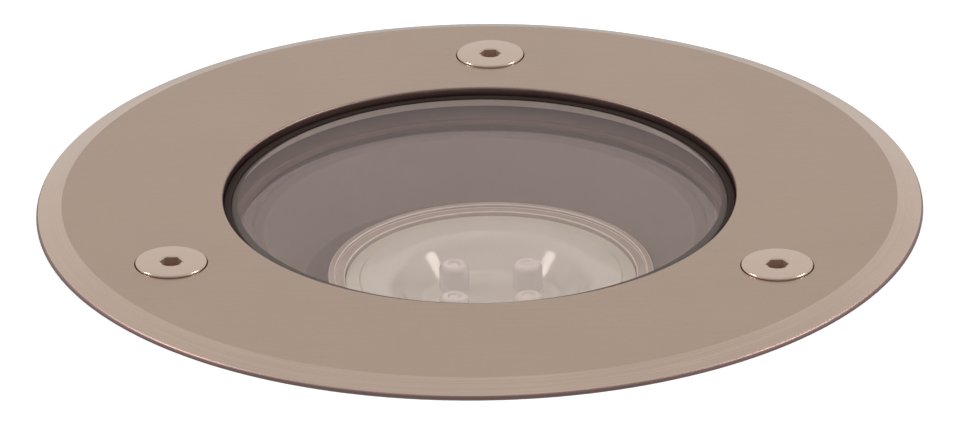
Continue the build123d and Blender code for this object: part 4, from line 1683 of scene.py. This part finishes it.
@dataclass(frozen=True)
class Room(SubAssembly):
    """White surroundings, which reflections see as a room that is darker overhead and in front."""

    fill_level: float = 0.7
    rear_level: float = 0.83
    overhead_level: float = 0.72
    front_level: float = 0.5
    overhead_span: Span = (0.45, 0.85)      # of a direction's height
    front_span: Span = (-0.75, -0.25)       # of its way to the back

    def build(self) -> None:
        """Make a world that is white to the eye and through glass, and lights the object evenly."""
        world = bpy.data.worlds.new("white_room")
        world.use_nodes = True
        bpy.context.scene.world = world
        graph = NodeGraph(world.node_tree)
        rays = graph.add("ShaderNodeLightPath").outputs
        direction = graph.add("ShaderNodeTexCoord").outputs["Generated"]
        _, to_back, height = graph.parts_of(direction)
        overhead = graph.spread(
            height, self.overhead_span, self.rear_level, self.overhead_level, interpolation_type="SMOOTHSTEP"
        )
        front = graph.spread(
            to_back, self.front_span, self.front_level, 1.0, interpolation_type="SMOOTHSTEP"
        )
        room = graph.maths("MULTIPLY", overhead, front)
        glossy = graph.maths("MULTIPLY", room, rays["Is Glossy Ray"])
        not_glossy = graph.maths("SUBTRACT", rays["Is Glossy Ray"], 1.0)
        fill = graph.maths("MULTIPLY", not_glossy, -self.fill_level)
        lit = graph.maths("ADD", glossy, fill)
        seen = graph.maths("MAXIMUM", rays["Is Camera Ray"], rays["Is Transmission Ray"])
        background = graph.tree.nodes["Background"].inputs
        graph.feed(background["Strength"], graph.maths("MAXIMUM", lit, seen))
        graph.feed(background["Color"], WHITE)


@dataclass(frozen=True)
class PavedGround(SubAssembly):
    """One pale slab at ground level with the sleeve's hole in it, and a pale floor below."""

    floor_r: float = 4.0
    slab_half_width: float = 70 * MM
    slab_front: float = -79 * MM
    slab_back: float = 69.5 * MM
    slab_corner: float = 12 * MM
    hole_gap: float = 0.3 * MM
    drop: float = 0.02 * MM            # keeps each surface apart from what stands on it

    def lay(self, name: str, work: Workpiece) -> None:
        """Lay a flat pale piece with its face upwards.

        Args:
            name: What the piece is called.
            work: Its mesh, which is used up.
        """
        work.mesh.normal_update()
        for face in work.mesh.faces:
            if face.normal.z < 0:
                face.normal_flip()
        data = work.finish(name)
        data.materials.append(material_of(PAVING))
        put_in_scene(name, data)

    def build(self) -> None:
        """Cut the slab and lay it over the floor."""
        low, high = box_of("ground_sleeve")
        slab = Workpiece()
        centre = Matrix.Translation((0.0, (self.slab_front + self.slab_back) / 2, -self.drop))
        half_length = (self.slab_back - self.slab_front) / 2
        bmesh.ops.create_grid(
            slab.mesh,
            x_segments=1,
            y_segments=1,
            size=1.0,
            matrix=centre @ Matrix.Diagonal((self.slab_half_width, half_length, 1.0, 1.0)),
        )
        slab.round_corners(slab.mesh.verts[:], self.slab_corner)
        bmesh.ops.delete(slab.mesh, geom=slab.mesh.faces[:], context="FACES_ONLY")
        bmesh.ops.create_circle(
            slab.mesh,
            cap_ends=False,
            radius=high.x + self.hole_gap,
            segments=COVER_STEPS,
            matrix=Matrix.Translation((0.0, 0.0, -self.drop)),
        )
        slab.fill(slab.mesh.edges[:])
        self.lay("paving_slab", slab)
        floor_z = low.z - self.drop
        floor = Workpiece().turn([Corner(0.0, floor_z), Corner(self.floor_r, floor_z)])
        self.lay("pale_floor", floor.weld())


@dataclass(frozen=True)
class Studio(SubAssembly):
    """The room, the ground, a soft lamp on each side and the camera."""

    lamp_side: float = 1.08
    lamp_back: float = 0.12
    lamp_height: float = 0.95
    lamp_width: float = 0.32
    lamp_power: float = 5.5

    def build(self) -> None:
        """Set up the studio, in which a colour shows about as it is written."""
        bpy.context.scene.view_settings.view_transform = "Standard"
        Room().build()
        PavedGround().build()
        for name, side in (("left_softbox", -self.lamp_side), ("right_softbox", self.lamp_side)):
            place = (side, self.lamp_back, self.lamp_height)
            Softbox(name, place, self.lamp_width, self.lamp_power).build()
        PhotoCamera().build()


def main() -> None:
    """Build the studio and the light."""
    logging.basicConfig(level=logging.INFO, format="%(name)s: %(message)s")
    sub_assemblies = (
        Studio(),
        CoverRing(),
        *(CoverScrew(number) for number in SCREW_NUMBERS),
        CoverGlass(),
        GlassGasket(),
        Reflector(),
        LampRim(),
        LampLens(),
        LampInside(),
        Housing(),
        Wiring(),
    )
    for sub_assembly in sub_assemblies:
        sub_assembly.build()


if __name__ == "__main__":
    main()
